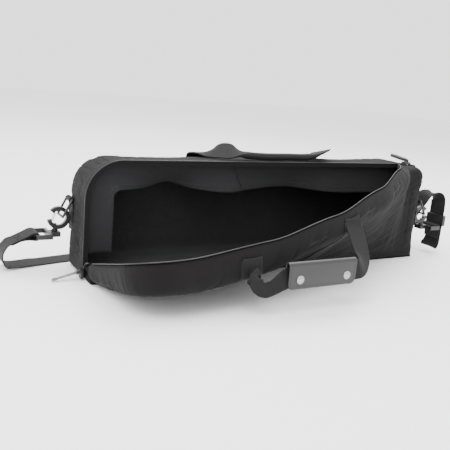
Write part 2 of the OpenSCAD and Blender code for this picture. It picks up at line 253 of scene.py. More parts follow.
def spread(points, step):
    """A smooth line through the points, with even steps."""
    p = [np.array(q, float) for q in points]
    p = [2 * p[0] - p[1]] + p + [2 * p[-1] - p[-2]]
    fine = []
    for i in range(1, len(p) - 2):
        for t in np.linspace(0, 1, 24, endpoint=False):
            a, b, c, d = p[i - 1], p[i], p[i + 1], p[i + 2]
            fine.append(0.5 * (2 * b + (c - a) * t + (2 * a - 5 * b + 4 * c - d) * t**2
                               + (3 * b - a - 3 * c + d) * t**3))
    fine.append(p[-2])
    fine = np.array(fine)
    run = np.concatenate([[0], np.cumsum(np.linalg.norm(np.diff(fine, axis=0), axis=1))])
    n = max(2, int(round(run[-1] / step)) + 1)
    at = np.linspace(0, run[-1], n)
    return np.stack([np.interp(at, run, fine[:, k]) for k in range(fine.shape[1])], 1)


def stretched(rows, n):
    """n directions, evenly read off a shorter or longer row of them."""
    rows = np.asarray(rows, float)
    at, known = np.linspace(0, 1, n), np.linspace(0, 1, len(rows))
    return np.stack([np.interp(at, known, rows[:, k]) for k in range(3)], 1)


def unit(v):
    v = np.asarray(v, float)
    return v / np.maximum(np.linalg.norm(v, axis=-1, keepdims=True), 1e-12)


def sweep(name, path, side, section, mat, ring=False):
    """A strip or tube along path. side is its width direction; section(i) gives points (a, b)
    across it, a along the width and b along the thickness."""
    path = np.asarray(path, float)
    n = len(path)
    side = np.broadcast_to(np.asarray(side, float), path.shape)
    if ring:
        along = unit(np.roll(path, -1, 0) - np.roll(path, 1, 0))
    else:
        along = unit(np.gradient(path, axis=0))
    across = unit(side - (side * along).sum(1, keepdims=True) * along)
    up = unit(np.cross(along, across))
    run = np.concatenate([[0], np.cumsum(np.linalg.norm(np.diff(path, axis=0), axis=1))])
    verts, uvs, m = [], [], len(section(0))
    for i in range(n):
        for a, b in section(i):
            verts.append(path[i] + across[i] * a + up[i] * b)
            uvs.append((a, run[i]))
    faces = []
    for i in range(n if ring else n - 1):
        j = (i + 1) % n
        for k in range(m):
            l = (k + 1) % m
            faces.append([i * m + k, j * m + k, j * m + l, i * m + l])
    if not ring:
        faces.append([k for k in range(m)])
        faces.append([(n - 1) * m + k for k in reversed(range(m))])
    obj = add_mesh(name, verts, faces, uvs)
    fix_normals(obj)
    obj.data.materials.append(mat)
    return obj


def flat_section(w, t, edge=0.35):
    """Across a piece of webbing: flat, with slightly thicker woven edges."""
    a, e = w / 2, t * edge
    return [(-a, 0), (-a + e * 0.4, -t * 0.45), (-a + 2 * e, -t * 0.56), (-a * 0.8, -t * 0.47),
            (-a * 0.4, -t / 2), (0, -t / 2), (a * 0.4, -t / 2), (a * 0.8, -t * 0.47),
            (a - 2 * e, -t * 0.56), (a - e * 0.4, -t * 0.45), (a, 0), (a - e * 0.4, t * 0.45),
            (a - 2 * e, t * 0.56), (a * 0.8, t * 0.47), (a * 0.4, t / 2), (0, t / 2),
            (-a * 0.4, t / 2), (-a * 0.8, t * 0.47), (-a + 2 * e, t * 0.56), (-a + e * 0.4, t * 0.45)]


def round_section(ra, rb, n):
    turns = [2 * math.pi * k / n for k in range(n)]
    return [(ra * math.cos(a), rb * math.sin(a)) for a in turns]


def teeth(wide, thick, n):
    """Sections of a zip's coil: each second one is a tooth. Both sizes are (gap, tooth)."""
    return lambda i: round_section(wide[i % 2], thick[i % 2], n)


def grid_rim(n, m):
    """Places round the edge of an n by m grid."""
    rim = [(i, 0) for i in range(n)] + [(n - 1, j) for j in range(1, m)]
    return rim + [(i, m - 1) for i in range(n - 2, -1, -1)] + [(0, j) for j in range(m - 2, 0, -1)]


def two_sided(n, m):
    """Faces of a grid's front, and of its back, whose points follow the front's."""
    faces, half = [], n * m
    for i in range(n - 1):
        for j in range(m - 1):
            a, b, c, d = i * m + j, i * m + j + 1, (i + 1) * m + j + 1, (i + 1) * m + j
            faces += [[a, b, c, d], [half + d, half + c, half + b, half + a]]
    return faces


def thick_sheet(name, grid, t, mat):
    """Cloth or leather over a grid of points, t thick, with a rounded edge."""
    grid = np.asarray(grid, float)
    n, m = grid.shape[:2]
    normal = unit(np.cross(np.gradient(grid, axis=0), np.gradient(grid, axis=1)))
    front, back = grid + normal * t / 2, grid - normal * t / 2
    rim = grid_rim(n, m)
    edge = []
    for i, j in rim:
        inner = grid[min(max(i, 1), n - 2), min(max(j, 1), m - 2)]
        edge.append(grid[i, j] + unit(grid[i, j] - inner) * t * 0.45)
    verts = np.concatenate([front.reshape(-1, 3), back.reshape(-1, 3), np.array(edge)])
    pitch = np.linalg.norm(grid[1, 0] - grid[0, 0])
    uv = np.array([(j, i) for i in range(n) for j in range(m)], float) * pitch
    uvs = np.concatenate([uv, uv, np.array([uv[i * m + j] for i, j in rim])])
    half, base, faces = n * m, 2 * n * m, two_sided(n, m)
    for k in range(len(rim)):
        l = (k + 1) % len(rim)
        a, b = rim[k][0] * m + rim[k][1], rim[l][0] * m + rim[l][1]
        faces += [[a, b, base + l, base + k], [base + k, base + l, half + b, half + a]]
    obj = add_mesh(name, verts, faces, uvs)
    fix_normals(obj)
    obj.data.materials.append(mat)
    return obj


def stitches(name, path, mat, length=0.0026, gap=0.0012, thick=0.00035):
    """A row of sewn stitches on a line that already lies on the cloth."""
    line = spread(path, (length + gap) / 4)
    verts, faces = [], []
    for k in range(0, len(line) - 4, 4):
        a, b = line[k], line[k + 3]
        along = unit(b - a)
        helper = np.array([0.31, 0.42, 0.85]) if abs(along[2]) < 0.8 else np.array([1.0, 0.2, 0.1])
        u = unit(np.cross(along, helper))
        w = np.cross(along, u)
        base = len(verts)
        for t, r in ((0, 0.5), (0.25, 1.0), (0.75, 1.0), (1, 0.5)):
            for q in range(5):
                c = 2 * math.pi * q / 5
                verts.append(a + (b - a) * t + (u * math.cos(c) + w * math.sin(c)) * thick * r)
        for ring in range(3):
            near, far = base + ring * 5, base + ring * 5 + 5
            for q in range(5):
                z = (q + 1) % 5
                faces.append([near + q, near + z, far + z, far + q])
        faces += [[base + q for q in reversed(range(5))], [base + 15 + q for q in range(5)]]
    obj = add_mesh(name, verts, faces)
    obj.data.materials.append(mat)
    return obj


# ---------- outline of the case, in X and Z ----------


def outline(d):
    """Closed line round the case, moved in by d, counter-clockwise from the bottom right."""
    l, r, b, t = -HALF + d, HALF - d, d, TOP - d
    corners = [((r, b), FOOT_R, -90), ((r, t), SMALL_R, 0), ((l, t), BIG_R, 90), ((l, b), FOOT_R, 180)]
    pts = []
    for (x, z), rad, start in corners:
        rad = max(rad - d, 0.0008)
        sx, sz = (1 if x > 0 else -1), (1 if z > TOP / 2 else -1)
        cx, cz = x - sx * rad, z - sz * rad
        for k in range(13):
            a = math.radians(start + 90 * k / 12)
            pts.append((cx + rad * math.cos(a), cz + rad * math.sin(a)))
    return np.array(pts)


def inset_of(c):
    """How far a point lies inside the case's ends, top and big corner."""
    cx, cz = -HALF + BIG_R, TOP - BIG_R
    if c.x < cx and c.z > cz:
        return BIG_R - math.hypot(c.x - cx, c.z - cz)
    return min(HALF - abs(c.x), TOP - c.z)


def tub_of(name, outer, inner, drop=0.0):
    """A padded tub: one closed skin over its outside, rim and inside. Both profiles are lists of
    (inset, y); drop lowers the tub's bottom wall."""
    verts, faces = [], []
    loops = outer + inner
    for d, y in loops:
        ring = outline(d)
        ring[ring[:, 1] < TOP / 3, 1] -= drop
        verts += [(x, y, z) for x, z in ring]
    n, m = len(loops), len(outline(0))
    for i in range(n):
        if i == len(outer) - 1:
            continue
        j = (i + 1) % n
        for q in range(m):
            r = (q + 1) % m
            faces.append([i * m + q, i * m + r, j * m + r, j * m + q])
    a, b = (len(outer) - 1) * m, len(outer) * m
    faces.append([a + q for q in range(m)])
    faces.append([b + q for q in reversed(range(m))])
    return add_mesh(name, verts, faces)


def slab(name, x0, x1, y0, y1, z0, z1):
    bm = bmesh.new()
    bmesh.ops.create_cube(bm, size=1)
    for v in bm.verts:
        v.co = Vector(((x0 + x1) / 2 + v.co.x * (x1 - x0), (y0 + y1) / 2 + v.co.y * (y1 - y0),
                       (z0 + z1) / 2 + v.co.z * (z1 - z0)))
    mesh = bpy.data.meshes.new(name)
    bm.to_mesh(mesh)
    bm.free()
    return new_object(name, mesh)


def puff(obj, cap, mask, pressure=4.0):
    """Swell a padded piece with a cloth simulation; no point moves more than cap."""
    start = mesh_points(obj)
    mod = obj.modifiers.new("cloth", "CLOTH")
    s = mod.settings
    s.quality = 4
    s.mass = 0.3
    s.tension_stiffness = s.compression_stiffness = 25
    s.shear_stiffness = 10
    s.bending_stiffness = 4
    s.use_pressure = True
    s.uniform_pressure_force = pressure
    s.effector_weights.gravity = 0
    mod.collision_settings.use_collision = False
    mod.point_cache.frame_start = 1
    mod.point_cache.frame_end = 20
    scene = bpy.context.scene
    for f in range(1, 21):
        scene.frame_set(f)
    dg = bpy.context.evaluated_depsgraph_get()
    ev = obj.evaluated_get(dg).data
    co = np.zeros(len(ev.vertices) * 3)
    ev.vertices.foreach_get("co", co)
    obj.modifiers.clear()
    scene.frame_set(1)
    move = co.reshape(-1, 3) - start
    size = np.linalg.norm(move, axis=1, keepdims=True)
    move = move / np.maximum(size, 1e-9) * cap * np.tanh(size / cap)
    set_points(obj, start + move * mask(start)[:, None])


def soft_noise(p, scale, seed):
    """Smooth noise from -1 to 1; scale is the size of a lump along each axis."""
    q = np.asarray(p, float) / np.asarray(scale, float) + seed
    return np.array([noise.noise(Vector(v)) for v in q])


# ---------- finishes ----------


def node_group(name, inputs, outputs):
    g = bpy.data.node_groups.new(name, "ShaderNodeTree")
    for key, kind, value in inputs:
        sock = g.interface.new_socket(key, in_out="INPUT", socket_type=kind)
        if value is not None:
            sock.default_value = value
    for key, kind in outputs:
        g.interface.new_socket(key, in_out="OUTPUT", socket_type=kind)
    return g, g.nodes.new("NodeGroupInput"), g.nodes.new("NodeGroupOutput")


def math_node(g, op, a, b=None, c=None, clamp=False):
    n = g.nodes.new("ShaderNodeMath")
    n.operation = op
    n.use_clamp = clamp
    for k, v in enumerate((a, b, c)):
        if v is None:
            continue
        if isinstance(v, (int, float)):
            n.inputs[k].default_value = v
        else:
            g.links.new(v, n.inputs[k])
    return n.outputs[0]


def noise_node(g, vector, scale, detail=3.0, rough=0.55):
    n = g.nodes.new("ShaderNodeTexNoise")
    n.inputs["Scale"].default_value = scale
    n.inputs["Detail"].default_value = detail
    n.inputs["Roughness"].default_value = rough
    if vector is not None:
        g.links.new(vector, n.inputs["Vector"])
    return n.outputs["Fac"]


def build_plain_weave():
    """Over-and-under threads in the case's own axes, for cloth that lies near a flat plane."""
    takes = [("Point", "NodeSocketVector", None), ("Threads", "NodeSocketFloat", 900.0)]
    gives = [("Height", "NodeSocketFloat"), ("Tone", "NodeSocketFloat")]
    g, gi, go = node_group("plain weave", takes, gives)
    sep = g.nodes.new("ShaderNodeSeparateXYZ")
    g.links.new(gi.outputs["Point"], sep.inputs[0])
    waves = []
    for axis in "XYZ":
        threads = math_node(g, "MULTIPLY", sep.outputs[axis], gi.outputs["Threads"])
        waves.append(math_node(g, "SINE", math_node(g, "MULTIPLY", threads, 2 * math.pi)))
    xz = math_node(g, "MULTIPLY", waves[0], waves[2])
    xy = math_node(g, "MULTIPLY", waves[0], waves[1])
    yz = math_node(g, "MULTIPLY", waves[1], waves[2])
    total = math_node(g, "ADD", math_node(g, "ADD", xz, xy), yz)
    g.links.new(math_node(g, "MULTIPLY_ADD", total, 0.3, 0.5), go.inputs["Height"])
    fleck = noise_node(g, gi.outputs["Point"], 700.0, 2.0, 0.7)
    g.links.new(fleck, go.inputs["Tone"])
    return g


def build_wear():
    """Broad rubbed and dusty areas, and fine lint."""
    takes = [("Point", "NodeSocketVector", None), ("Amount", "NodeSocketFloat", 0.5)]
    gives = [("Rub", "NodeSocketFloat"), ("Lint", "NodeSocketFloat")]
    g, gi, go = node_group("wear and dust", takes, gives)
    broad = noise_node(g, gi.outputs["Point"], 9.0, 4.0, 0.6)
    rub = math_node(g, "MULTIPLY", math_node(g, "SUBTRACT", broad, 0.42), gi.outputs["Amount"])
    g.links.new(math_node(g, "MAXIMUM", rub, 0.0), go.inputs["Rub"])
    lint = noise_node(g, gi.outputs["Point"], 260.0, 1.0, 0.4)
    spot = math_node(g, "MULTIPLY", math_node(g, "SUBTRACT", lint, 0.7), 6.0, clamp=True)
    g.links.new(spot, go.inputs["Lint"])
    return g


PLAIN_WEAVE = build_plain_weave()
WEAR = build_wear()


def start_material(name):
    m = bpy.data.materials.new(name)
    m.use_nodes = True
    g = m.node_tree
    return m, g, g.nodes["Principled BSDF"], g.nodes.new("ShaderNodeTexCoord")


def tint(g, fac, a, b):
    """A colour between a and b, by fac."""
    n = g.nodes.new("ShaderNodeMix")
    n.data_type = "RGBA"
    n.inputs["A"].default_value = (*a, 1)
    n.inputs["B"].default_value = (*b, 1)
    g.links.new(fac, n.inputs["Factor"])
    return n.outputs["Result"]


def bump(g, bsdf, height, strength, depth):
    n = g.nodes.new("ShaderNodeBump")
    n.inputs["Strength"].default_value = strength
    n.inputs["Distance"].default_value = depth
    g.links.new(height, n.inputs["Height"])
    g.links.new(n.outputs[0], bsdf.inputs["Normal"])


def place(g, group, point, **values):
    n = g.nodes.new("ShaderNodeGroup")
    n.node_tree = group
    g.links.new(point, n.inputs["Point"])
    for key, value in values.items():
        n.inputs[key].default_value = value
    return n


def woven(name, base, light, threads, rough=0.85, sheen=0.03, depth=0.0004, rub=0.5):
    """Matt woven cloth with threads, mottling, rubbed areas and a little lint."""
    m, g, bsdf, tc = start_material(name)
    point = tc.outputs["Object"]
    weave = place(g, PLAIN_WEAVE, point, Threads=threads)
    wear = place(g, WEAR, point, Amount=rub)
    mottle = math_node(g, "MULTIPLY_ADD", weave.outputs["Tone"], 0.9, -0.25, clamp=True)
    mix = math_node(g, "ADD", mottle, wear.outputs["Rub"], clamp=True)
    mix = math_node(g, "MULTIPLY_ADD", wear.outputs["Lint"], 0.35, mix, clamp=True)
    g.links.new(tint(g, mix, base, light), bsdf.inputs["Base Color"])
    g.links.new(math_node(g, "MULTIPLY_ADD", wear.outputs["Rub"], -0.25, rough), bsdf.inputs["Roughness"])
    height = math_node(g, "MULTIPLY_ADD", weave.outputs["Tone"], 0.8, weave.outputs["Height"])
    bump(g, bsdf, height, 0.5, depth)
    bsdf.inputs["Sheen Weight"].default_value = sheen
    bsdf.inputs["Sheen Roughness"].default_value = 0.6
    bsdf.inputs["Specular IOR Level"].default_value = 0.12
    return m


def ribbed(name, base, light, rough=0.7, width=0.0024, length=0.0018):
    """Webbing: ribs along it and picks across it, from its own cloth coordinates."""
    m, g, bsdf, tc = start_material(name)
    sep = g.nodes.new("ShaderNodeSeparateXYZ")
    g.links.new(tc.outputs["UV"], sep.inputs[0])
    u = math_node(g, "MULTIPLY", sep.outputs["X"], 2 * math.pi / width)
    v = math_node(g, "MULTIPLY", sep.outputs["Y"], 2 * math.pi / length)
    ribs = math_node(g, "MULTIPLY_ADD", math_node(g, "SINE", u), 0.5, 0.5)
    half = math_node(g, "MULTIPLY", u, 0.5)
    picks = math_node(g, "MULTIPLY_ADD", math_node(g, "SINE", math_node(g, "ADD", v, half)), 0.5, 0.5)
    wear = place(g, WEAR, tc.outputs["Object"], Amount=0.6)
    fleck = noise_node(g, tc.outputs["Object"], 500.0, 2.0)
    cross = math_node(g, "MULTIPLY", ribs, picks)
    tone = math_node(g, "MULTIPLY_ADD", cross, 0.45, wear.outputs["Rub"], clamp=True)
    tone = math_node(g, "MULTIPLY_ADD", fleck, 0.25, tone, clamp=True)
    g.links.new(tint(g, tone, base, light), bsdf.inputs["Base Color"])
    height = math_node(g, "MULTIPLY_ADD", ribs, 0.7, math_node(g, "MULTIPLY", picks, 0.4))
    bump(g, bsdf, height, 0.7, 0.0006)
    g.links.new(math_node(g, "MULTIPLY_ADD", fleck, 0.15, rough - 0.07), bsdf.inputs["Roughness"])
    bsdf.inputs["Specular IOR Level"].default_value = 0.2
    bsdf.inputs["Sheen Weight"].default_value = 0.02
    return m


def grained(name, base, light, scale, rough, depth, coat=0.0, rub=0.3):
    """Leather, moulded plastic or rubber: a fine irregular grain with worn, shinier spots."""
    m, g, bsdf, tc = start_material(name)
    point = tc.outputs["Object"]
    cells = g.nodes.new("ShaderNodeTexVoronoi")
    cells.feature = "SMOOTH_F1"
    cells.inputs["Scale"].default_value = scale
    g.links.new(point, cells.inputs["Vector"])
    fine = noise_node(g, point, scale * 0.35, 4.0)
    wear = place(g, WEAR, point, Amount=rub)
    tone = math_node(g, "MULTIPLY_ADD", fine, 0.5, wear.outputs["Rub"], clamp=True)
    tone = math_node(g, "MULTIPLY_ADD", wear.outputs["Lint"], 0.2, tone, clamp=True)
    g.links.new(tint(g, tone, base, light), bsdf.inputs["Base Color"])
    g.links.new(math_node(g, "MULTIPLY_ADD", fine, 0.25, rough - 0.12), bsdf.inputs["Roughness"])
    height = math_node(g, "MULTIPLY_ADD", cells.outputs["Distance"], 0.8, fine)
    bump(g, bsdf, height, 0.35, depth)
    bsdf.inputs["Coat Weight"].default_value = coat
    return m


def metal(name, base, light, rough, scratch=0.4):
    """Plated or drawn metal, with brushed lines, fine scratches and dull spots."""
    m, g, bsdf, tc = start_material(name)
    point = tc.outputs["Object"]
    stretch = g.nodes.new("ShaderNodeMapping")
    stretch.inputs["Scale"].default_value = (60, 2500, 1400)
    g.links.new(point, stretch.inputs["Vector"])
    lines = noise_node(g, stretch.outputs[0], 1.0, 3.0)
    cloudy = noise_node(g, point, 160.0, 4.0)
    g.links.new(tint(g, cloudy, base, light), bsdf.inputs["Base Color"])
    r = math_node(g, "MULTIPLY_ADD", cloudy, 0.25, rough - 0.1)
    g.links.new(math_node(g, "MULTIPLY_ADD", lines, 0.12, r), bsdf.inputs["Roughness"])
    bump(g, bsdf, lines, scratch * 0.25, 0.0001)
    bsdf.inputs["Metallic"].default_value = 1.0
    return m


SHELL = woven("shell_fabric", (0.0036, 0.0031, 0.00335), (0.01023, 0.00899, 0.00961), 1100)
LINING = woven("lining", (0.0117, 0.0117, 0.01242), (0.0306, 0.0306, 0.03195), 1500, 0.8, 0.03, 0.0002)
FLAP = woven("flap_fabric", (0.01302, 0.01302, 0.01395), (0.02604, 0.02604, 0.02759), 1300, 0.75, 0.04,
             0.0002)
TAPE = woven("zip_tape", (0.00351, 0.00351, 0.00378), (0.00756, 0.00756, 0.0081), 1600, 0.8, 0.03, 0.0002)
WEBBING = ribbed("webbing", (0.00403, 0.0036, 0.00384), (0.01364, 0.0124, 0.01302))
TAG = ribbed("tag", (0.50, 0.12, 0.02), (0.75, 0.25, 0.06), 0.7, 0.001, 0.001)
THREAD = grained("thread", (0.0112, 0.0112, 0.0119), (0.0315, 0.0315, 0.0329), 2500, 0.6, 0.0001)
MARK = grained("mark", (0.40, 0.40, 0.41), (0.60, 0.60, 0.61), 2500, 0.6, 0.0001)
COIL = grained("coil", (0.0018, 0.0018, 0.00195), (0.006, 0.006, 0.0063), 1800, 0.35, 0.0001, 0.2)
PLASTIC = grained("moulded_plastic", (0.00525, 0.00525, 0.00562), (0.01575, 0.01575, 0.0165), 1600, 0.38,
                  0.0001, 0.1)
RUBBER = grained("pull_rubber", (0.0049, 0.0049, 0.00525), (0.014, 0.014, 0.0147), 1200, 0.5, 0.0002)
WRAP = grained("wrap", (0.0066, 0.0066, 0.00705), (0.0138, 0.0138, 0.01455), 900, 0.42, 0.0003, 0.1)
NICKEL = metal("pull_metal", (0.16, 0.16, 0.165), (0.34, 0.34, 0.345), 0.34)
DARK_METAL = metal("slider_metal", (0.035, 0.035, 0.038), (0.11, 0.11, 0.115), 0.4)
CAP_METAL = metal("snap_metal", (0.30752, 0.30752, 0.31248), (0.40672, 0.40672, 0.41168), 0.2)
WIRE = metal("gate_wire", (0.62, 0.63, 0.65), (0.8, 0.8, 0.82), 0.22)


# ---------- padded body of the case ----------


def body_mask(p):
    """Full swelling on the walls, none along the rim, the fold line and the floor."""
    rim = ease((p[:, 1] - ZIP_Y - 0.004) / 0.03)
    floor = ease((p[:, 2] - 0.012) / 0.03)
    return rim * (0.35 + 0.65 * floor)


def build_body():
    k = WALL
    b = BACK
    outer = [(0, ZIP_Y + RIM_GAP), (0, 0.02), (0.0006, 0.05), (0.0004, b - 0.014), (0.0022, b - 0.006),
             (0.0066, b - 0.0018), (0.0135, b - 0.0004), (0.03, b), (0.055, b), (0.08, b)]
    inner = [(0.08, b - k), (0.05, b - k), (0.022, b - k), (k + 0.006, b - k - 0.0015),
             (k + 0.0015, b - k - 0.006), (k, b - k - 0.014), (k, 0.05), (k, 0.02), (k, ZIP_Y + RIM_GAP)]
    tub = tub_of("tub", outer, inner)
    sole = slab("sole", -HALF + 0.0006, HALF - 0.0006, FRONT + 0.012, 0.012, 0.0002, SKIN + 0.006)
    lip = slab("lip", -HALF + 0.0006, HALF - 0.0006, FRONT + 0.0012, -0.015, -0.0003, FOLD[2])
    both = join("case_body", [tub, sole, lip])
    fix_normals(both)
    both = with_modifier(both, "REMESH", mode="VOXEL", voxel_size=VOXEL)
    both = with_modifier(both, "SMOOTH", factor=0.5, iterations=3)
    puff(both, 0.003, body_mask)
    both = with_modifier(both, "SUBSURF", levels=1)
    shape_body(both)
    return both


def shape_body(obj):
    """Sag, folds and dimples, then the inside faces get the lining."""
    p, n = mesh_points(obj), mesh_normals(obj)
    mask = ease((p[:, 2] - 0.01) / 0.03) * ease((p[:, 1] - 0.004) / 0.02)
    lumps = soft_noise(p, (0.09, 0.07, 0.07), 3.1) * 0.0016
    creases = soft_noise(p, (0.03, 0.09, 0.016), 8.7)
    creases = -np.maximum(0, 1 - np.abs(creases) / 0.16) * 0.0012
    end = ease((np.abs(p[:, 0]) - 0.22) / 0.08)
    p = p + n * ((lumps + creases * (0.35 + 0.9 * end)) * mask)[:, None]
    top = ease((p[:, 2] - TOP + 0.03) / 0.025)
    sag = np.exp(-((p[:, 0] + 0.22) / 0.10) ** 2) * 0.004 + np.exp(-((p[:, 0] - 0.2) / 0.06) ** 2) * 0.003
    p[:, 2] -= sag * top * ease(p[:, 1] / 0.03)
    swell = 0.0012
    for k, (low, high) in enumerate(((-HALF, HALF), (FRONT, BACK), (0.0015, TOP))):
        over = np.maximum(p[:, k] - high, 0)
        under = np.maximum(low - p[:, k], 0)
        p[:, k] += swell * (np.tanh(over / swell) - np.tanh(under / swell)) - over + under
    set_points(obj, p)
    obj.data.materials.clear()
    for m in (SHELL, LINING):
        obj.data.materials.append(m)
    inside = []
    for f in obj.data.polygons:
        c = f.center
        inside.append(1 if min(inset_of(c), c.z) > INSIDE and c.y < BACK - INSIDE else 0)
    obj.data.polygons.foreach_set("material_index", inside)
    obj.data.polygons.foreach_set("use_smooth", [True] * len(inside))


def skin_of(obj):
    polys = [list(f.vertices) for f in obj.data.polygons]
    return BVHTree.FromPolygons([tuple(v) for v in mesh_points(obj)], polys)


body = build_body()
# the surfaces that webbing is sewn to: the body, then the closed lid
skins = [skin_of(body)]
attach(body, "shell")
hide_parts("back_panel", "top_gusset", "bottom_panel", "back_foam", "top_foam", "left_end_foam",
            "bottom_foam", "tray_lining")


# ---------- the lid: built closed, then laid open ----------


def lid_mask(p):
    rim = ease((ZIP_Y - 0.003 - p[:, 1]) / 0.02)
    hinge = ease((p[:, 2] - 0.012) / 0.03)
    return rim * hinge


def build_lid():
    k = WALL
    f = FRONT
    outer = [(0, ZIP_Y - RIM_GAP), (0, ZIP_Y - 0.012), (0.0004, f + 0.012), (0.002, f + 0.006),
             (0.006, f + 0.0018), (0.013, f + 0.0003), (0.03, f), (0.055, f), (0.08, f)]
    inner = [(0.08, f + k), (0.05, f + k), (0.022, f + k), (k + 0.006, f + k + 0.0015),
             (k + 0.0015, f + k + 0.005), (k, f + k + 0.010), (k, ZIP_Y - 0.010), (k, ZIP_Y - RIM_GAP)]
    lid = tub_of("lid", outer, inner, drop=0.03)
    fix_normals(lid)
    lid = with_modifier(lid, "REMESH", mode="VOXEL", voxel_size=VOXEL)
    lid = with_modifier(lid, "SMOOTH", factor=0.5, iterations=3)
    puff(lid, 0.0035, lid_mask)
    lid = with_modifier(lid, "SUBSURF", levels=1)
    shape_lid(lid)
    skins.append(skin_of(lid))
    cut_lid(lid)
    return lid


def belly_at(x):
    """How far the lid's front hangs out at each place along the case."""
    return BELLY * np.exp(-((np.asarray(x) + 0.24) / 0.19) ** 2)


def shape_lid(obj):
    """Belly, folds and creases of the lid, while it is still closed."""
    p, n = mesh_points(obj), mesh_normals(obj)
    mask = lid_mask(p)
    lumps = soft_noise(p, (0.10, 0.06, 0.06), 12.4) * 0.002
    pulls = soft_noise(np.stack([p[:, 0] + 0.45 * p[:, 2], p[:, 1], p[:, 2] - 0.45 * p[:, 0]], 1),
                       (0.11, 0.07, 0.017), 5.5)
    pulls = -np.maximum(0, 1 - np.abs(pulls) / 0.2) * 0.0012
    upright = soft_noise(p, (0.022, 0.05, 0.14), 21.3)
    upright = -np.maximum(0, 1 - np.abs(upright) / 0.35) * 0.0008
    right = ease((p[:, 0] - 0.18) / 0.06)
    p = p + n * ((lumps + pulls + upright * right) * mask)[:, None]
    height = np.clip((p[:, 2] - FOLD[2]) / (TOP - FOLD[2]), 0, 1)
    belly = belly_at(p[:, 0]) * np.sin(math.pi / 2 * height) ** 0.8
    p[:, 1] -= belly * ease((ZIP_Y - 0.004 - p[:, 1]) / 0.015)
    set_points(obj, p)


def cut_lid(obj):
    """Open the lid's bottom along the fold line, and cut it where its stiff pieces meet."""
    bm = bmesh.new()
    bm.from_mesh(obj.data)
    geom = list(bm.verts) + list(bm.edges) + list(bm.faces)
    cut = bmesh.ops.bisect_plane(bm, geom=geom, plane_co=(0, 0, FOLD[2] + 0.0004), plane_no=(0, 0, 1),
                                 clear_inner=True)
    rims = [e for e in cut["geom_cut"] if isinstance(e, bmesh.types.BMEdge)]
    bmesh.ops.holes_fill(bm, edges=rims, sides=0)
    bmesh.ops.triangulate(bm, faces=[f for f in bm.faces if len(f.verts) > 4])
    for x in knot_x[1:]:
        geom = list(bm.verts) + list(bm.edges) + list(bm.faces)
        bmesh.ops.bisect_plane(bm, geom=geom, plane_co=(x, 0, 0), plane_no=(1, 0, 0), dist=1e-7)
    bm.to_mesh(obj.data)
    bm.free()


def strip_bounds():
    edges = [HALF + 0.02] + knot_x[1:] + [-HALF - 0.02]
    return list(zip(edges[:-1], edges[1:]))


def cut_out(name, points, normals, polys, mats, uv=None):
    """Some faces of a mesh as a piece of its own, with the whole mesh's normals."""
    used = sorted({v for f in polys for v in f})
    index = {v: j for j, v in enumerate(used)}
    own_uv = None if uv is None else uv[used]
    piece = add_mesh(name, points[used], [[index[v] for v in f] for f in polys], own_uv)
    for m in mats:
        piece.data.materials.append(m)
    piece.data.normals_split_custom_set_from_vertices([tuple(normals[v]) for v in used])
    return piece


def split_lid(obj, prefix):
    """The laid-open lid as strips, cut at the middles of its stiff pieces."""
    closed = mesh_points(obj)
    inner = []
    for f in obj.data.polygons:
        c = f.center
        belly = float(belly_at(c.x))
        inner.append(1 if inset_of(c) > INSIDE and c.y > FRONT + INSIDE - 0.6 * belly else 0)
    centre_x = [f.center.x for f in obj.data.polygons]
    polys = [list(f.vertices) for f in obj.data.polygons]
    set_points(obj, lay_open(closed))
    obj.data.polygons.foreach_set("use_smooth", [True] * len(polys))
    normals = mesh_normals(obj)
    points = mesh_points(obj)
    strips = []
    for i, (right, left) in enumerate(strip_bounds()):
        chosen = [k for k, x in enumerate(centre_x) if left < x <= right]
        strip = cut_out(f"{prefix}_{i + 1}", points, normals, [polys[k] for k in chosen], [SHELL, LINING])
        strip.data.polygons.foreach_set("material_index", [inner[k] for k in chosen])
        strips.append(strip)
    bpy.data.objects.remove(obj)
    return strips


def part_of(obj, name, keep, cap):
    """The faces of a mesh that keep chooses, closed by cap, as a piece of its own."""
    points, normals = mesh_points(obj), mesh_normals(obj)
    layer = obj.data.uv_layers.active
    uv = np.zeros((len(points), 2))
    if layer:
        for loop in obj.data.loops:
            uv[loop.vertex_index] = layer.data[loop.index].uv
    polys = [f for f in (list(f.vertices) for f in obj.data.polygons) if keep(f)] + [cap]
    return cut_out(name, points, normals, polys, list(obj.data.materials), uv)


def bend(obj, i):
    """Strip i of the lid stays where it was laid; the last one rides on the end piece."""
    if i < 5:
        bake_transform(obj)
    else:
        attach(obj, "lid_5")


STANDS_FOR = [["front_fixed_panel", "right_end_panel", "right_end_foam"]]
STANDS_FOR += [[f"lid_panel_{i}", f"lid_padding_{i}"] for i in range(1, 5)]
STANDS_FOR += [["lid_panel_5", "lid_padding_5", "lid_end_panel", "lid_end_padding"]]
lid_strips = split_lid(build_lid(), "lid_cover")
for i, strip in enumerate(lid_strips):
    bend(strip, i)
    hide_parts(*STANDS_FOR[i])


# ---------- zip, flap and corner gusset ----------


# half a tooth of the zip's coil
PITCH = 0.0009


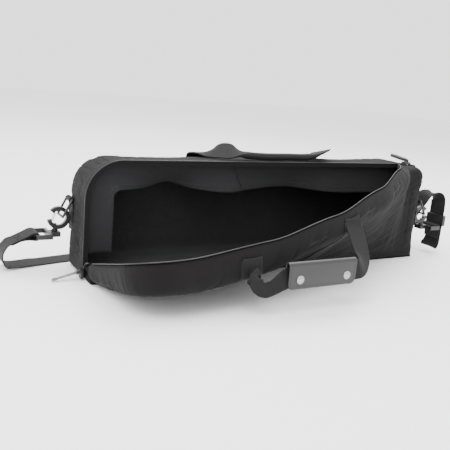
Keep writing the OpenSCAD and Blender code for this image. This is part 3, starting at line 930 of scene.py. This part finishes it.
def rim_line(d, z0, x1, step=0.004):
    """Points and outward directions along the outline, moved in by d: up the left end from z0,
    round the big corner and along the top to x1."""
    cx, cz = -HALF + BIG_R, TOP - BIG_R
    pts, out = [], []
    for z in np.arange(z0, cz, step):
        pts.append((-HALF + d, z))
        out.append((-1, 0))
    n = max(3, int(BIG_R * math.pi / 2 / step))
    for a in np.linspace(math.pi, math.pi / 2, n, endpoint=False):
        pts.append((cx + (BIG_R - d) * math.cos(a), cz + (BIG_R - d) * math.sin(a)))
        out.append((math.cos(a), math.sin(a)))
    for x in np.linspace(cx, x1, max(2, int((x1 - cx) / step))):
        pts.append((x, TOP - d))
        out.append((0, 1))
    pts, out = np.array(pts), np.array(out)
    flat = np.zeros(len(pts))
    return np.stack([pts[:, 0], flat, pts[:, 1]], 1), np.stack([out[:, 0], flat, out[:, 1]], 1)


def between(path, side, left, right):
    """The part of a rim line with x from left to right, with a point added at each cut."""
    keep = (path[:, 0] > left) & (path[:, 0] < right)
    p, s = path[keep], side[keep]
    for x, at in ((left, 0), (right, len(p))):
        if path[:, 0].min() < x < path[:, 0].max():
            near = 0 if at == 0 else -1
            p = np.insert(p, at, [x, *p[near][1:]], axis=0)
            s = np.insert(s, at, s[near], axis=0)
    return p, s


def zip_tape(name, path, side, y):
    at = path + side * -0.0030 + np.array([0, y, 0])
    return sweep(name, at, side, lambda i: flat_section(0.0088, 0.0007), TAPE)


def zip_coil(name, path, side, y):
    fine = spread(path, PITCH)
    fine_side = stretched(side, len(fine))
    at = fine + fine_side * 0.0006 + np.array([0, y, 0])
    return sweep(name, at, fine_side, teeth((0.0008, 0.0012), (0.0007, 0.0010), 7), COIL)


def zip_half(name, path, side, s):
    """Tape and coil of one side of the zip: s is 1 on the case and -1 on the lid."""
    tape = zip_tape("t", path, side, ZIP_Y + s * 0.0009)
    return join(name, [tape, zip_coil("c", path, side, ZIP_Y + s * 0.0010)])


def build_zips():
    path, side = rim_line(0, lo("tray_zip").z, FIXED_X)
    tray = zip_half("tray_zip_side", path, side, 1)
    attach(tray, "shell")
    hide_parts("tray_zip")
    path, side = rim_line(0, WALL * 3, FIXED_X)
    for i, (right, left) in enumerate(strip_bounds()):
        p, s = between(path, side, left, right)
        if len(p) < 3:
            continue
        piece = zip_half(f"lid_zip_side_{i + 1}", p, s, -1)
        set_points(piece, lay_open(mesh_points(piece)))
        bend(piece, i)
        stands_for = [f"lid_zip_{i}"] if i > 0 else []
        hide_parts(*stands_for, *(["lid_end_zip"] if i == 5 else []))
    build_closed_zip()


def build_closed_zip():
    """The stretch that stays zipped: along the top, and a little way down the right end."""
    cx, cz = HALF - SMALL_R, TOP - SMALL_R
    lead = [(x, TOP, 0, 1) for x in np.linspace(FIXED_X - 0.001, cx - 0.001, 8)]
    end = []
    for a in np.linspace(90, 30, 14):
        c, s = math.cos(math.radians(a)), math.sin(math.radians(a))
        end.append((cx + SMALL_R * c, cz + SMALL_R * s, c, s))
    run = np.array(lead + end)
    p = np.stack([run[:, 0], np.full(len(run), ZIP_Y), run[:, 1]], 1)
    out = np.stack([run[:, 2], np.zeros(len(run)), run[:, 3]], 1)
    band = sweep("t", p + out * 0.0012, [0, 1, 0], lambda i: flat_section(0.020, 0.0008), TAPE)
    fine = spread(p, PITCH)
    raised = fine + stretched(out, len(fine)) * 0.0018
    coil = sweep("c", raised, [0, 1, 0], teeth((0.0016, 0.0022), (0.0011, 0.0011), 8), COIL)
    closed = join("closed_zip", [band, coil])
    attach(closed, "shell")


def build_flap():
    """The grey guard flap: sewn along the rim, it hangs a little into the mouth in slack waves."""
    path, out = rim_line(0, lo("zip_guard_flap").z, FIXED_X, 0.005)
    x = path[:, 0]
    wide = 0.045
    along_top = ease((x + HALF - 0.02) / 0.05)
    wave = (0.026 * np.exp(-((x + 0.205) / 0.05) ** 2) + 0.012 * np.exp(-((x - 0.03) / 0.08) ** 2)
            + 0.004 * soft_noise(path, 0.05, 4.2))
    slump = 0.006 * np.exp(-((x + 0.09) / 0.05) ** 2) + 0.010 * ease((x - 0.02) / 0.16)
    grid = []
    for v in np.linspace(0, 1, 14):
        depth = np.abs(wave) * v**1.6
        reach = np.sqrt(np.maximum((wide * v) ** 2 - depth**2, (0.35 * wide * v) ** 2)) + slump * v
        y = 0.0016 + 0.0035 * math.sin(math.pi * v) + wave * v**1.6 * (0.3 + 0.7 * along_top)
        line = path - out * (0.0034 + reach)[:, None]
        grid.append(np.stack([line[:, 0], y, line[:, 2]], 1))
    grid = np.stack(grid, 1)
    pieces = [thick_sheet("flap", grid, 0.0011, FLAP)]
    for v in (10.6, 11.1):
        row = grid[:, 10] + (grid[:, 11] - grid[:, 10]) * (v - 10)
        pieces.append(stitches("hem", row - np.array([0, 0.0008, 0]), THREAD))
    cut = int(np.argmin(np.abs(x + 0.085)))
    seam = np.array([grid[cut + int(round(0.35 * k)), k] for k in range(14)]) - np.array([0, 0.0009, 0])
    pieces.append(sweep("seam", spread(seam, 0.002), [1, 0, 0], lambda i: flat_section(0.0022, 0.0010), FLAP))
    flap = join("guard_flap_cloth", pieces)
    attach(flap, "shell")
    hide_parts("zip_guard_flap")


def build_gusset():
    """The soft corner that joins the lid's end wall to the case beside the corner slider."""
    x = -HALF + 0.0035
    root_y, edge_y = FOLD[1] + 0.003, ZIP_Y - RIM_GAP
    rows, cols, half_t = 15, 9, 0.0018
    front, back = [], []
    for i in range(rows):
        a = FULL * i / (rows - 1)
        line = np.array([(x, root_y + (edge_y - root_y) * j / (cols - 1), FOLD[2] + 0.0015)
                         for j in range(cols)])
        line = turn(line, a)
        share = i / (rows - 1)
        tucks = 0.004 * math.sin(3 * math.pi * share) * np.linspace(0.1, 1, cols)
        line[:, 0] += tucks + 0.003 * math.sin(math.pi * share)
        front.append(line - np.array([half_t, 0, 0]))
        back.append(line + np.array([half_t, 0, 0]))
    verts = [p for line in front + back for p in line]
    half, faces = rows * cols, two_sided(rows, cols)
    rim = [i * cols + j for i, j in grid_rim(rows, cols)]
    for a, b in zip(rim, rim[1:] + rim[:1]):
        faces.append([a, b, half + b, half + a])
    gusset = add_mesh("gusset", verts, faces)
    fix_normals(gusset)
    gusset.data.materials.append(SHELL)
    gusset = with_modifier(gusset, "SUBSURF", levels=1)
    edge = np.array([x, edge_y, FOLD[2] + 0.0015])
    arc = np.array([turn(edge, FULL * t) for t in np.linspace(-0.08, 1.08, 30)])
    out = np.stack([np.zeros(len(arc)), arc[:, 1] - FOLD[1], arc[:, 2] - FOLD[2]], 1)
    tape = sweep("t", arc + unit(out) * 0.0008, [1, 0, 0], lambda i: flat_section(0.0095, 0.0009), TAPE)
    fine = spread(arc + unit(out) * 0.0012 - np.array([0.004, 0, 0]), PITCH)
    coil = sweep("c", fine, [1, 0, 0], teeth((0.0008, 0.0012), (0.0010, 0.0010), 7), COIL)
    gusset = join("corner_gusset", [gusset, tape, coil])
    a = turn(np.array([x, edge_y, FOLD[2]]), 0.0)
    b = turn(np.array([x, edge_y, FOLD[2]]), FULL)
    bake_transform(gusset)


build_zips()
build_flap()
build_gusset()

# ---------- webbing ----------

WEB_W = 0.038
WEB_T = 0.0018
# rows of stitching run this far from the webbing's middle
ROW_AT = 0.0155
BOX_W = 0.028


def hit(tree, start, way):
    """Where a line from start, going that way, first meets a skin."""
    point = skins[tree].ray_cast(Vector(start), Vector(way))[0]
    return None if point is None else np.array(point)


def lay_on(tree, points, way, lift=0.0011):
    """Points moved along way until they lie just on a skin."""
    out = []
    for p in np.asarray(points, float):
        at = hit(tree, p, way)
        out.append(p if at is None else at - np.array(way, float) * lift)
    out = np.array(out)
    for _ in range(3):
        out[1:-1] = (out[:-2] + 2 * out[1:-1] + out[2:]) / 4
    return out


def webbing(name, points, side, width=WEB_W, thick=WEB_T, step=0.003):
    """A strip of webbing through the points."""
    return sweep(name, spread(points, step), side, lambda i: flat_section(width, thick), WEBBING)


def box_stitch(name, at, right, up, w, h, lift):
    """The crossed square of stitching that anchors a strap."""
    at, right, up, lift = (np.array(v, float) for v in (at, right, up, lift))
    c = [at + lift + right * a * w / 2 + up * b * h / 2 for a, b in ((-1, -1), (1, -1), (1, 1), (-1, 1))]
    rows = [(c[0], c[1]), (c[1], c[2]), (c[2], c[3]), (c[3], c[0]), (c[0], c[2]), (c[1], c[3])]
    return join(name, [stitches(name, [a, b], THREAD) for a, b in rows])


def length_of(points):
    return float(np.linalg.norm(np.diff(spread(points, 0.003), axis=0), axis=1).sum())


# the strap's route, the same as its solids take
LEFT_STRAP = [(-0.445, 0.0640, 0.0486), (-0.432, 0.0615, 0.0546), (-0.421, 0.0604, 0.0556),
              (-0.4145, 0.060, 0.0548), (-0.4095, 0.060, 0.0546), (-0.4058, 0.060, 0.0575),
              (-0.4058, 0.060, 0.0625), (-0.4095, 0.060, 0.0655), (-0.4165, 0.0602, 0.0650),
              (-0.428, 0.0612, 0.0590), (-0.443, 0.0635, 0.0515), (-0.452, 0.066, 0.046),
              (-0.4585, 0.070, 0.034), (-0.4585, 0.074, 0.020), (-0.452, 0.080, 0.0085),
              (-0.438, 0.086, 0.0028), (-0.420, 0.091, 0.0014), (-0.390, 0.099, 0.0012),
              (-0.350, 0.107, 0.0012), (-0.300, 0.114, 0.0012)]
FLOOR_RUN = [(-0.20, 0.1165, 0.0013), (-0.10, 0.1125, 0.0012), (0.0, 0.1155, 0.0014), (0.10, 0.1130, 0.0012),
             (0.20, 0.1120, 0.0013)]
RIGHT_STRAP = [(0.300, 0.114, 0.0012), (0.342, 0.107, 0.0012), (0.370, 0.096, 0.0014),
               (0.384, 0.084, 0.006), (0.394, 0.068, 0.024), (0.404, 0.040, 0.070),
               (0.414, 0.018, 0.114), (0.424, 0.008, 0.1255), (0.4335, 0.000, 0.1235),
               (0.4372, -0.006, 0.112), (0.4345, -0.0095, 0.072), (0.431, -0.012, 0.024),
               (0.424, -0.013, 0.014), (0.4175, -0.015, 0.018), (0.4235, -0.017, 0.034),
               (0.4212, -0.018, 0.054), (0.4170, -0.018, 0.0640), (0.4115, -0.018, 0.0655),
               (0.4078, -0.018, 0.0625), (0.4078, -0.018, 0.0575), (0.4115, -0.018, 0.0546),
               (0.4163, -0.018, 0.0538), (0.4180, -0.0178, 0.046), (0.4192, -0.0174, 0.036)]


def build_strap():
    """One strap: folded round both bases, through the length glide, along the ground behind the case."""
    points = LEFT_STRAP + FLOOR_RUN + RIGHT_STRAP
    strap = webbing("strap", points, [0, 1, 0])
    # where the left loop comes down to the floor, its lower edge bends up along it
    p = mesh_points(strap)
    low = (p[:, 2] < 0.005) & (p[:, 0] < -0.39)
    share = ease((-0.39 - p[:, 0]) / 0.02)
    raised = 0.0004 + (p[:, 2] + 0.0040) * (0.0046 / 0.0090)
    p[low, 2] = (p[:, 2] + (np.maximum(raised, p[:, 2]) - p[:, 2]) * share)[low]
    p[:, 2] = np.maximum(p[:, 2], 0.0002)
    set_points(strap, p)
    left_sew = box_stitch("sew", (-0.436, 0.0623, 0.0561), (0, 1, 0), unit((-0.9, 0, -0.45)), BOX_W, 0.014,
                          (-0.0005, 0, 0.0011))
    right_sew = box_stitch("sew", (0.4228, -0.0175, 0.044), (0, 1, 0), (0, 0, 1), BOX_W, 0.014,
                           (0.0012, 0, 0))
    strap = join("shoulder_strap", [strap, left_sew, right_sew])
    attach(strap, "shell")
    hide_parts("strap_left_loop", "strap_floor_run", "strap_right_loop")
    length_of(points)
    build_tag()


def build_tag():
    """The small tag, sewn in between the two layers of the strap's right loop."""
    a, b = lo("strap_tag"), hi("strap_tag")
    grid = [[(a.x + 0.0007 + 0.0006 * math.sin(3 * z + 2 * y), a.y + (b.y - a.y) * y, a.z + (b.z - a.z) * z)
             for z in np.linspace(0, 1, 9)] for y in np.linspace(0, 1, 6)]
    tag = thick_sheet("tag", grid, 0.0009, TAG)
    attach(tag, "shell")
    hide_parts("strap_tag")


def build_ring_tabs():
    """Folded loops that hold the rings, each sewn to the case with a crossed square."""
    for key, s in (("left", -1), ("right", 1)):
        body_lo, body_hi = lo(f"{key}_ring_tab"), hi(f"{key}_ring_tab")
        y = (body_lo.y + body_hi.y) / 2
        x, z = s * 0.355, 0.117
        tree = 0 if s < 0 else 1
        face = lay_on(tree, [(s * 0.5, y, h) for h in np.linspace(0.066, 0.102, 7)], (-s, 0, 0))
        # round the ring's bar, as (outward, up) from its middle
        loop = [(-0.0028, -0.0052), (0.0012, -0.0032), (0.0034, 0), (0.0012, 0.0032), (-0.0020, 0.0040),
                (-0.0040, 0.0010)]
        points = [tuple(p) for p in face] + [(x + s * a, y, z + b) for a, b in loop]
        strip = webbing(f"{key}_tab", points, [0, 1, 0], 0.022, 0.0016)
        mid = face[3]
        sew = box_stitch("sew", mid, (0, 1, 0), (0, 0, 1), 0.015, 0.022, (s * 0.0011, 0, 0))
        tab = join(f"{key}_ring_loop", [strip, sew])
        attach(tab, "shell")
        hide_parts(f"{key}_ring_tab")
        length_of(points)


def build_back_handle():
    """Two bands up the back, over the edge, then one loop whose middle is rolled into a grip."""
    a, b = lo("back_handle_bands"), hi("back_handle_bands")
    lx, rx = a.x + WEB_W / 2, b.x - WEB_W / 2
    bands = []
    for x in (lx, rx):
        face = lay_on(0, [(x, 0.3, z) for z in np.linspace(a.z, 0.172, 15)], (0, -1, 0))
        strip = webbing("band", face, [1, 0, 0])
        bands.append(strip)
        for k in (2, -3):
            bands.append(box_stitch("sew", face[k], (1, 0, 0), (0, 0, 1), BOX_W, 0.030, (0, 0.0012, 0)))
        for edge in (-ROW_AT, ROW_AT):
            bands.append(stitches("row", face[3:-4] + np.array([edge, 0.0011, 0]), THREAD))
        over = [face[-1] - np.array([0, 0, 0.004]), face[-1], (x, 0.0850, 0.1815), (x, 0.0815, 0.1905),
                (x, 0.074, 0.1945)]
        turn_piece = webbing("handle_turn", over, [1, 0, 0], step=0.002)
        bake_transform(turn_piece)
        length_of(over)
    bands = join("back_bands", bands)
    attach(bands, "shell")
    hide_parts("back_handle_bands")
    build_back_loop(lx, rx)


def build_back_loop(lx, rx):
    """The back handle from band to band, flat at its ends and rolled in the middle."""
    y = lo("back_handle").y + 0.007
    foot = (0.078, 0.1937)
    points = [(lx, *foot), (lx + 0.003, 0.060, 0.1970), (lx + 0.010, 0.040, 0.2022),
              (lx + 0.022, 0.023, 0.2060), (lx + 0.040, 0.0115, 0.2048), (lx + 0.062, y, 0.2005),
              (lx + 0.10, y, 0.1985), (0.03, y, 0.1987), (rx - 0.06, y, 0.1990),
              (rx - 0.036, 0.0105, 0.2050), (rx - 0.020, 0.020, 0.2090), (rx - 0.008, 0.038, 0.2055),
              (rx - 0.002, 0.058, 0.1985), (rx, *foot)]
    path = spread(points, 0.003)
    along = unit(np.gradient(path, axis=0))
    x = path[:, 0]
    rolled = ease((x - (lx + 0.030)) / 0.034) * ease(((rx - 0.026) - x) / 0.034)
    stand = ease((path[:, 2] - 0.1955) / 0.010) * (1 - rolled) * np.where(x < 0, 0.75, -0.3)
    side = np.stack([-along[:, 1], along[:, 0], stand], 1)

    def section(i):
        w = (WEB_W * (1 - 0.25 * math.sin(math.pi * min(1, rolled[i])))) / 2
        flat = np.array(flat_section(2 * w, WEB_T))
        turns = [math.atan2(q[1] / WEB_T, q[0] / (2 * w)) for q in flat]
        oval = np.array([(0.0094 * math.cos(t), 0.0066 * math.sin(t)) for t in turns])
        return [tuple(q) for q in flat * (1 - rolled[i]) + oval * rolled[i]]

    grip = sweep("grip", path, side, section, WEBBING)
    mid = rolled > 0.97
    seam = path[mid] + np.array([0, -0.0066, 0.0046])
    rows = [stitches("seam", seam, THREAD)]
    flat_end = (~mid) & (x < 0)
    for k in (-1, 1):
        edge = path + side * k * ROW_AT + np.array([0, 0, 0.0012])
        rows.append(stitches("edge", edge[flat_end][:-10], THREAD))
    grip = join("back_handle_loop", [grip] + rows)
    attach(grip, "back_handle")
    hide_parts("back_handle")
    length_of(points)


def lid_patch(name, x, i, low, high):
    """Webbing sewn up the lid's front, over its edge; made on the closed lid, then laid open."""
    face = lay_on(1, [(x, -0.3, z) for z in np.linspace(low, TOP - 0.012, 16)], (0, 1, 0))
    top = lay_on(1, [(x, y, 0.4) for y in np.linspace(face[-1][1] + 0.010, high, 4)], (0, 0, -1))
    corner = (face[-1] + top[0]) / 2 + np.array([0, -0.0022, 0.0022])
    points = list(face) + [corner] + list(top)
    strip = webbing(name, points, [1, 0, 0])
    rows = [stitches("row", np.array(points) + np.array([e, -0.0010, 0.0006]), THREAD)
            for e in (-ROW_AT, ROW_AT)]
    patch = join(name, [strip] + rows)
    set_points(patch, lay_open(mesh_points(patch)))
    bend(patch, i)
    length_of(points)
    return lay_open(np.array([top[-1] + np.array([0, 0, 0.002]), corner + np.array([0, -0.002, 0.003])]))


def leg(name, points, width):
    """A handle leg that stays roughly upright and facing forward as it bends."""
    path = spread(points, 0.002)
    along = unit(np.gradient(path, axis=0))
    side = np.stack([-along[:, 2], 0.25 * along[:, 0], along[:, 0]], 1)
    for _ in range(3):
        side[1:-1] = (side[:-2] + side[1:-1] + side[2:]) / 3
    n = len(path)
    piece = sweep(name, path, side, lambda i: flat_section(width(i / (n - 1)), WEB_T), WEBBING)
    return piece, n, len(flat_section(WEB_W, WEB_T))


def left_leg_width(t):
    """The left leg is gathered in its middle and widens again towards the wrap."""
    return 0.034 - 0.012 * ease(t / 0.45) + 0.008 * ease((t - 0.6) / 0.3)


def build_front_handle():
    """The front handle hangs from the opened lid by two legs, its grip inside the wrap."""
    w_lo, w_hi = lo("grip_wrap"), hi("grip_wrap")
    y = (w_hi.y + lo("grip_flap").y) / 2
    left = lid_patch("left_patch", -0.168, 4, 0.05, -0.026)
    right = lid_patch("right_patch", 0.040, 2, 0.05, -0.024)
    first = [left[0], left[1], (-0.1705, -0.2255, 0.061), (-0.1712, -0.2300, 0.051),
             (-0.1655, -0.2335, 0.0445), (-0.1555, -0.2345, 0.0425), (-0.1435, -0.2350, 0.0465),
             (-0.132, y, 0.0535), (-0.119, y, 0.0590), (-0.105, y, 0.061)]
    whole, rings, section_n = leg("left_leg", first, left_leg_width)
    # the ring of points halfway down, where the leg is cut in two
    start, stop = rings // 2 * section_n, (rings // 2 + 1) * section_n
    middle = tuple(mesh_points(whole)[start:stop].mean(0))
    cut = list(range(start, stop))
    a = part_of(whole, "left_leg_upper", lambda f: max(f) < stop, cut)
    b = part_of(whole, "left_leg_lower", lambda f: max(f) >= stop, cut[::-1])
    bpy.data.objects.remove(whole)
    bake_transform(a)
    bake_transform(b)
    second = [right[0], right[1], (0.036, -0.213, 0.080), (0.029, -0.226, 0.068), (0.018, -0.2345, 0.0625),
              (0.004, y, 0.061), (-0.012, y, 0.060)]
    c = leg("right_leg", second, lambda t: 0.034 - 0.004 * t)[0]
    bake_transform(c)
    run = length_of(first)
    for piece, share in ((a, run / 2), (b, run / 2), (c, length_of(second))):
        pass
    route = [(-0.112, y, 0.0605), (-0.06, y + 0.0004, 0.0612), (-0.006, y, 0.0600)]
    core = webbing("front_grip", route, [0, 0, 1], 0.030, 0.0050)
    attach(core, "front_handle")
    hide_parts("front_handle")
    build_wrap(w_lo, w_hi)


def build_wrap(w_lo, w_hi):
    """The smooth wrap round the front handle: a back with a rolled top, and a flap with two snaps."""
    f_lo = lo("grip_flap")
    t = 0.0022
    x0, x1, z0, z1 = w_lo.x, w_hi.x, w_lo.z, w_hi.z
    y_back, y_front = w_hi.y - t / 2, f_lo.y + t / 2
    r = (y_back - y_front) / 2
    mid_y = (y_back + y_front) / 2
    roll_z = z1 - r - t / 2
    corner = 0.008

    def bottom(x):
        d = min(x - x0, x1 - x)
        return z0 + (corner - math.sqrt(max(corner**2 - (corner - d) ** 2, 0)) if d < corner else 0)

    def bow(x, v):
        return 0.0010 * math.sin(math.pi * (x - x0) / (x1 - x0)) * math.sin(math.pi * v)

    xs = np.concatenate([np.linspace(x0, x0 + corner, 9), np.linspace(x0 + corner, x1 - corner, 30)[1:-1],
                         np.linspace(x1 - corner, x1, 9)])
    back, front = [], []
    for x in xs:
        rise = [(x, y_back - bow(x, v), bottom(x) + (z1 - r - bottom(x)) * v) for v in np.linspace(0, 1, 9)]
        roll = [(x, mid_y + r * math.cos(q), roll_z + r * math.sin(q))
                for q in np.linspace(0.15, 0.93 * math.pi, 10)]
        back.append(rise + roll)
        fall = [(x, mid_y - r * math.cos(q), roll_z + r * math.sin(q)) for q in (0.20, 0.05)]
        drop = [(x, y_front - bow(x, v), roll_z + (bottom(x) - roll_z) * v) for v in np.linspace(0, 1, 12)]
        front.append(fall + drop)
    wrap = thick_sheet("wrap_back", back, t, WRAP)

    def on_front(x, z):
        v = (z1 - r - z) / (z1 - r - bottom(x))
        return (x, y_front - bow(x, v) - t / 2 - 0.0001, z)

    inset = 0.0032
    bend_r = corner - inset
    line = [on_front(x0 + inset, z) for z in np.linspace(z1 - 0.006, z0 + corner + 0.002, 8)]
    for q in np.linspace(0, math.pi / 2, 6):
        line.append(on_front(x0 + corner - bend_r * math.cos(q), z0 + corner - bend_r * math.sin(q)))
    line += [on_front(x, z0 + inset) for x in np.linspace(x0 + corner + 0.004, x1 - corner - 0.004, 16)]
    for q in np.linspace(math.pi / 2, 0, 6):
        line.append(on_front(x1 - corner + bend_r * math.cos(q), z0 + corner - bend_r * math.sin(q)))
    line += [on_front(x1 - inset, z) for z in np.linspace(z0 + corner + 0.002, z1 - 0.006, 8)]
    row = stitches("row", line, THREAD, thick=0.00028)
    flap = join("wrap_flap", [thick_sheet("flap", front, t, WRAP), row])
    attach(wrap, "front_handle")
    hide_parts("grip_wrap")
    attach(flap, "grip_flap")
    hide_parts("grip_flap")
    c_lo, c_hi = lo("snap_caps"), hi("snap_caps")
    cap_r = (c_hi.z - c_lo.z) / 2
    caps = []
    for x in (c_lo.x + cap_r, c_hi.x - cap_r):
        caps.append(dome("cap", (x, y_front - t / 2 - 0.0008, (c_lo.z + c_hi.z) / 2), cap_r, 0.0022))
    caps = join("snap_domes", caps)
    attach(caps, "grip_flap")
    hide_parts("snap_caps")


def dome(name, at, r, h):
    """A pressed snap cap facing forward: rolled rim, groove and low dome."""
    prof = [(1.0, -0.6), (1.02, -0.1), (0.99, 0.25), (0.92, 0.42), (0.84, 0.38), (0.78, 0.30),
            (0.70, 0.55), (0.5, 0.82), (0.25, 0.96), (0.0, 1.0)]
    verts, faces, m = [], [], 28
    for a, b in prof:
        for k in range(m):
            c = 2 * math.pi * k / m
            verts.append((at[0] + a * r * math.cos(c), at[1] - b * h, at[2] + a * r * math.sin(c)))
    for i in range(len(prof) - 1):
        for k in range(m):
            l = (k + 1) % m
            faces.append([i * m + k, i * m + l, (i + 1) * m + l, (i + 1) * m + k])
    faces.append([k for k in range(m)])
    obj = add_mesh(name, verts, faces)
    fix_normals(obj)
    obj.data.materials.append(CAP_METAL)
    return obj


# ---------- hard parts ----------


def soften(node, name, mat, bevel):
    """A hard part with its sharp corners rounded off."""
    src = frame["nodes"][node]
    mesh = src.data.copy()
    mesh.materials.clear()
    mesh.materials.append(mat)
    obj = new_object(name, mesh)
    bm = bmesh.new()
    bm.from_mesh(mesh)
    bmesh.ops.remove_doubles(bm, verts=bm.verts, dist=1e-6)
    bmesh.ops.dissolve_limit(bm, angle_limit=math.radians(1.5), verts=bm.verts, edges=bm.edges)
    bmesh.ops.recalc_face_normals(bm, faces=bm.faces)
    for f in bm.faces:
        f.smooth = True
    bm.to_mesh(mesh)
    bm.free()
    sharp = math.radians(36)
    obj = with_modifier(obj, "BEVEL", width=bevel, segments=3, limit_method="ANGLE", angle_limit=sharp)
    obj = with_modifier(obj, "WEIGHTED_NORMAL", keep_sharp=False, weight=60)
    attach(obj, src["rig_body"])
    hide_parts(node)
    return obj


def build_hardware():
    for key in ("left", "right"):
        soften(f"{key}_ring", f"{key}_ring_bar", PLASTIC, 0.0003)
        soften(f"{key}_hook", f"{key}_hook_body", PLASTIC, 0.0009)
        soften(f"{key}_hook_base", f"{key}_base", PLASTIC, 0.0009)
        soften(f"{key}_gate", f"{key}_gate_wire", WIRE, 0.0002)
    soften("tri_glide", "length_glide", PLASTIC, 0.0009)
    soften("corner_slider", "corner_zip_slider", DARK_METAL, 0.0005)
    soften("rim_slider", "rim_zip_slider", DARK_METAL, 0.0005)
    soften("metal_pull", "metal_zip_pull", NICKEL, 0.0004)
    pull_mark(soften("rubber_pull", "rubber_zip_pull", RUBBER, 0.0009))


def pull_mark(pull):
    """Four plain light bars on the flat of the rubber pull."""
    points = mesh_points(pull)
    top = points[points[:, 1] > points[:, 1].min() + 0.016]
    c = top.mean(0)
    tilt = 0.105
    marks = []
    for k in (-1.5, -0.5, 0.5, 1.5):
        y = c[1] + 0.0035 * k
        z = c[2] + (y - c[1]) * tilt + 0.00262
        bar = [(c[0] + dx, y, z) for dx in (-0.0022, 0, 0.0022)]
        marks.append(sweep("bar", bar, [0, 1, tilt], lambda i: round_section(0.0009, 0.00025, 8), MARK))
    mark = join("pull_mark", marks)
    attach(mark, "rubber_pull")


build_strap()
build_ring_tabs()
build_back_handle()
build_front_handle()
build_hardware()

# ---------- view ----------


def aim(at, target):
    """The turn that points a lamp or the camera from one place to another."""
    return (Vector(target) - Vector(at)).to_track_quat("-Z", "Y")


def build_view():
    floor = add_mesh("floor", [(-6, -6, 0), (6, -6, 0), (6, 6, 0), (-6, 6, 0)], [[0, 1, 2, 3]])
    m, g, bsdf, tc = start_material("floor_paper")
    grain = noise_node(g, tc.outputs["Object"], 30.0, 3.0)
    g.links.new(tint(g, grain, (0.93, 0.93, 0.93), (0.96, 0.96, 0.96)), bsdf.inputs["Base Color"])
    bsdf.inputs["Roughness"].default_value = 0.9
    bsdf.inputs["Specular IOR Level"].default_value = 0.1
    floor.data.materials.append(m)
    world = bpy.data.worlds.new("studio")
    bpy.context.scene.world = world
    world.use_nodes = True
    world.node_tree.nodes["Background"].inputs[0].default_value = (1, 1, 1, 1)
    world.node_tree.nodes["Background"].inputs[1].default_value = 2.1
    for name, at, size, power in (("key", (-1.2, -1.0, 2.2), 1.6, 60), ("top", (0.6, 0.6, 2.0), 2.0, 62),
                                  ("side", (-2.0, 0.8, 0.9), 1.2, 20)):
        lamp = bpy.data.lights.new(name, "AREA")
        lamp.size = size
        lamp.energy = power
        obj = new_object(name, lamp)
        obj.location = at
        obj.rotation_mode = "QUATERNION"
        obj.rotation_quaternion = aim(at, (0, 0, 0.1))
    cam = new_object("camera", bpy.data.cameras.new("camera"))
    cam.data.lens = 51.2
    cam.data.sensor_width = 36
    cam.location = (-0.666, -0.940, 0.3355)
    cam.rotation_mode = "QUATERNION"
    # rolled a little about its own line of sight
    rolled = Quaternion((0, 0, 1), math.radians(5.3))
    cam.rotation_quaternion = aim(cam.location, (-0.0925, 0, 0.0772)) @ rolled
    bpy.context.scene.camera = cam


build_view()
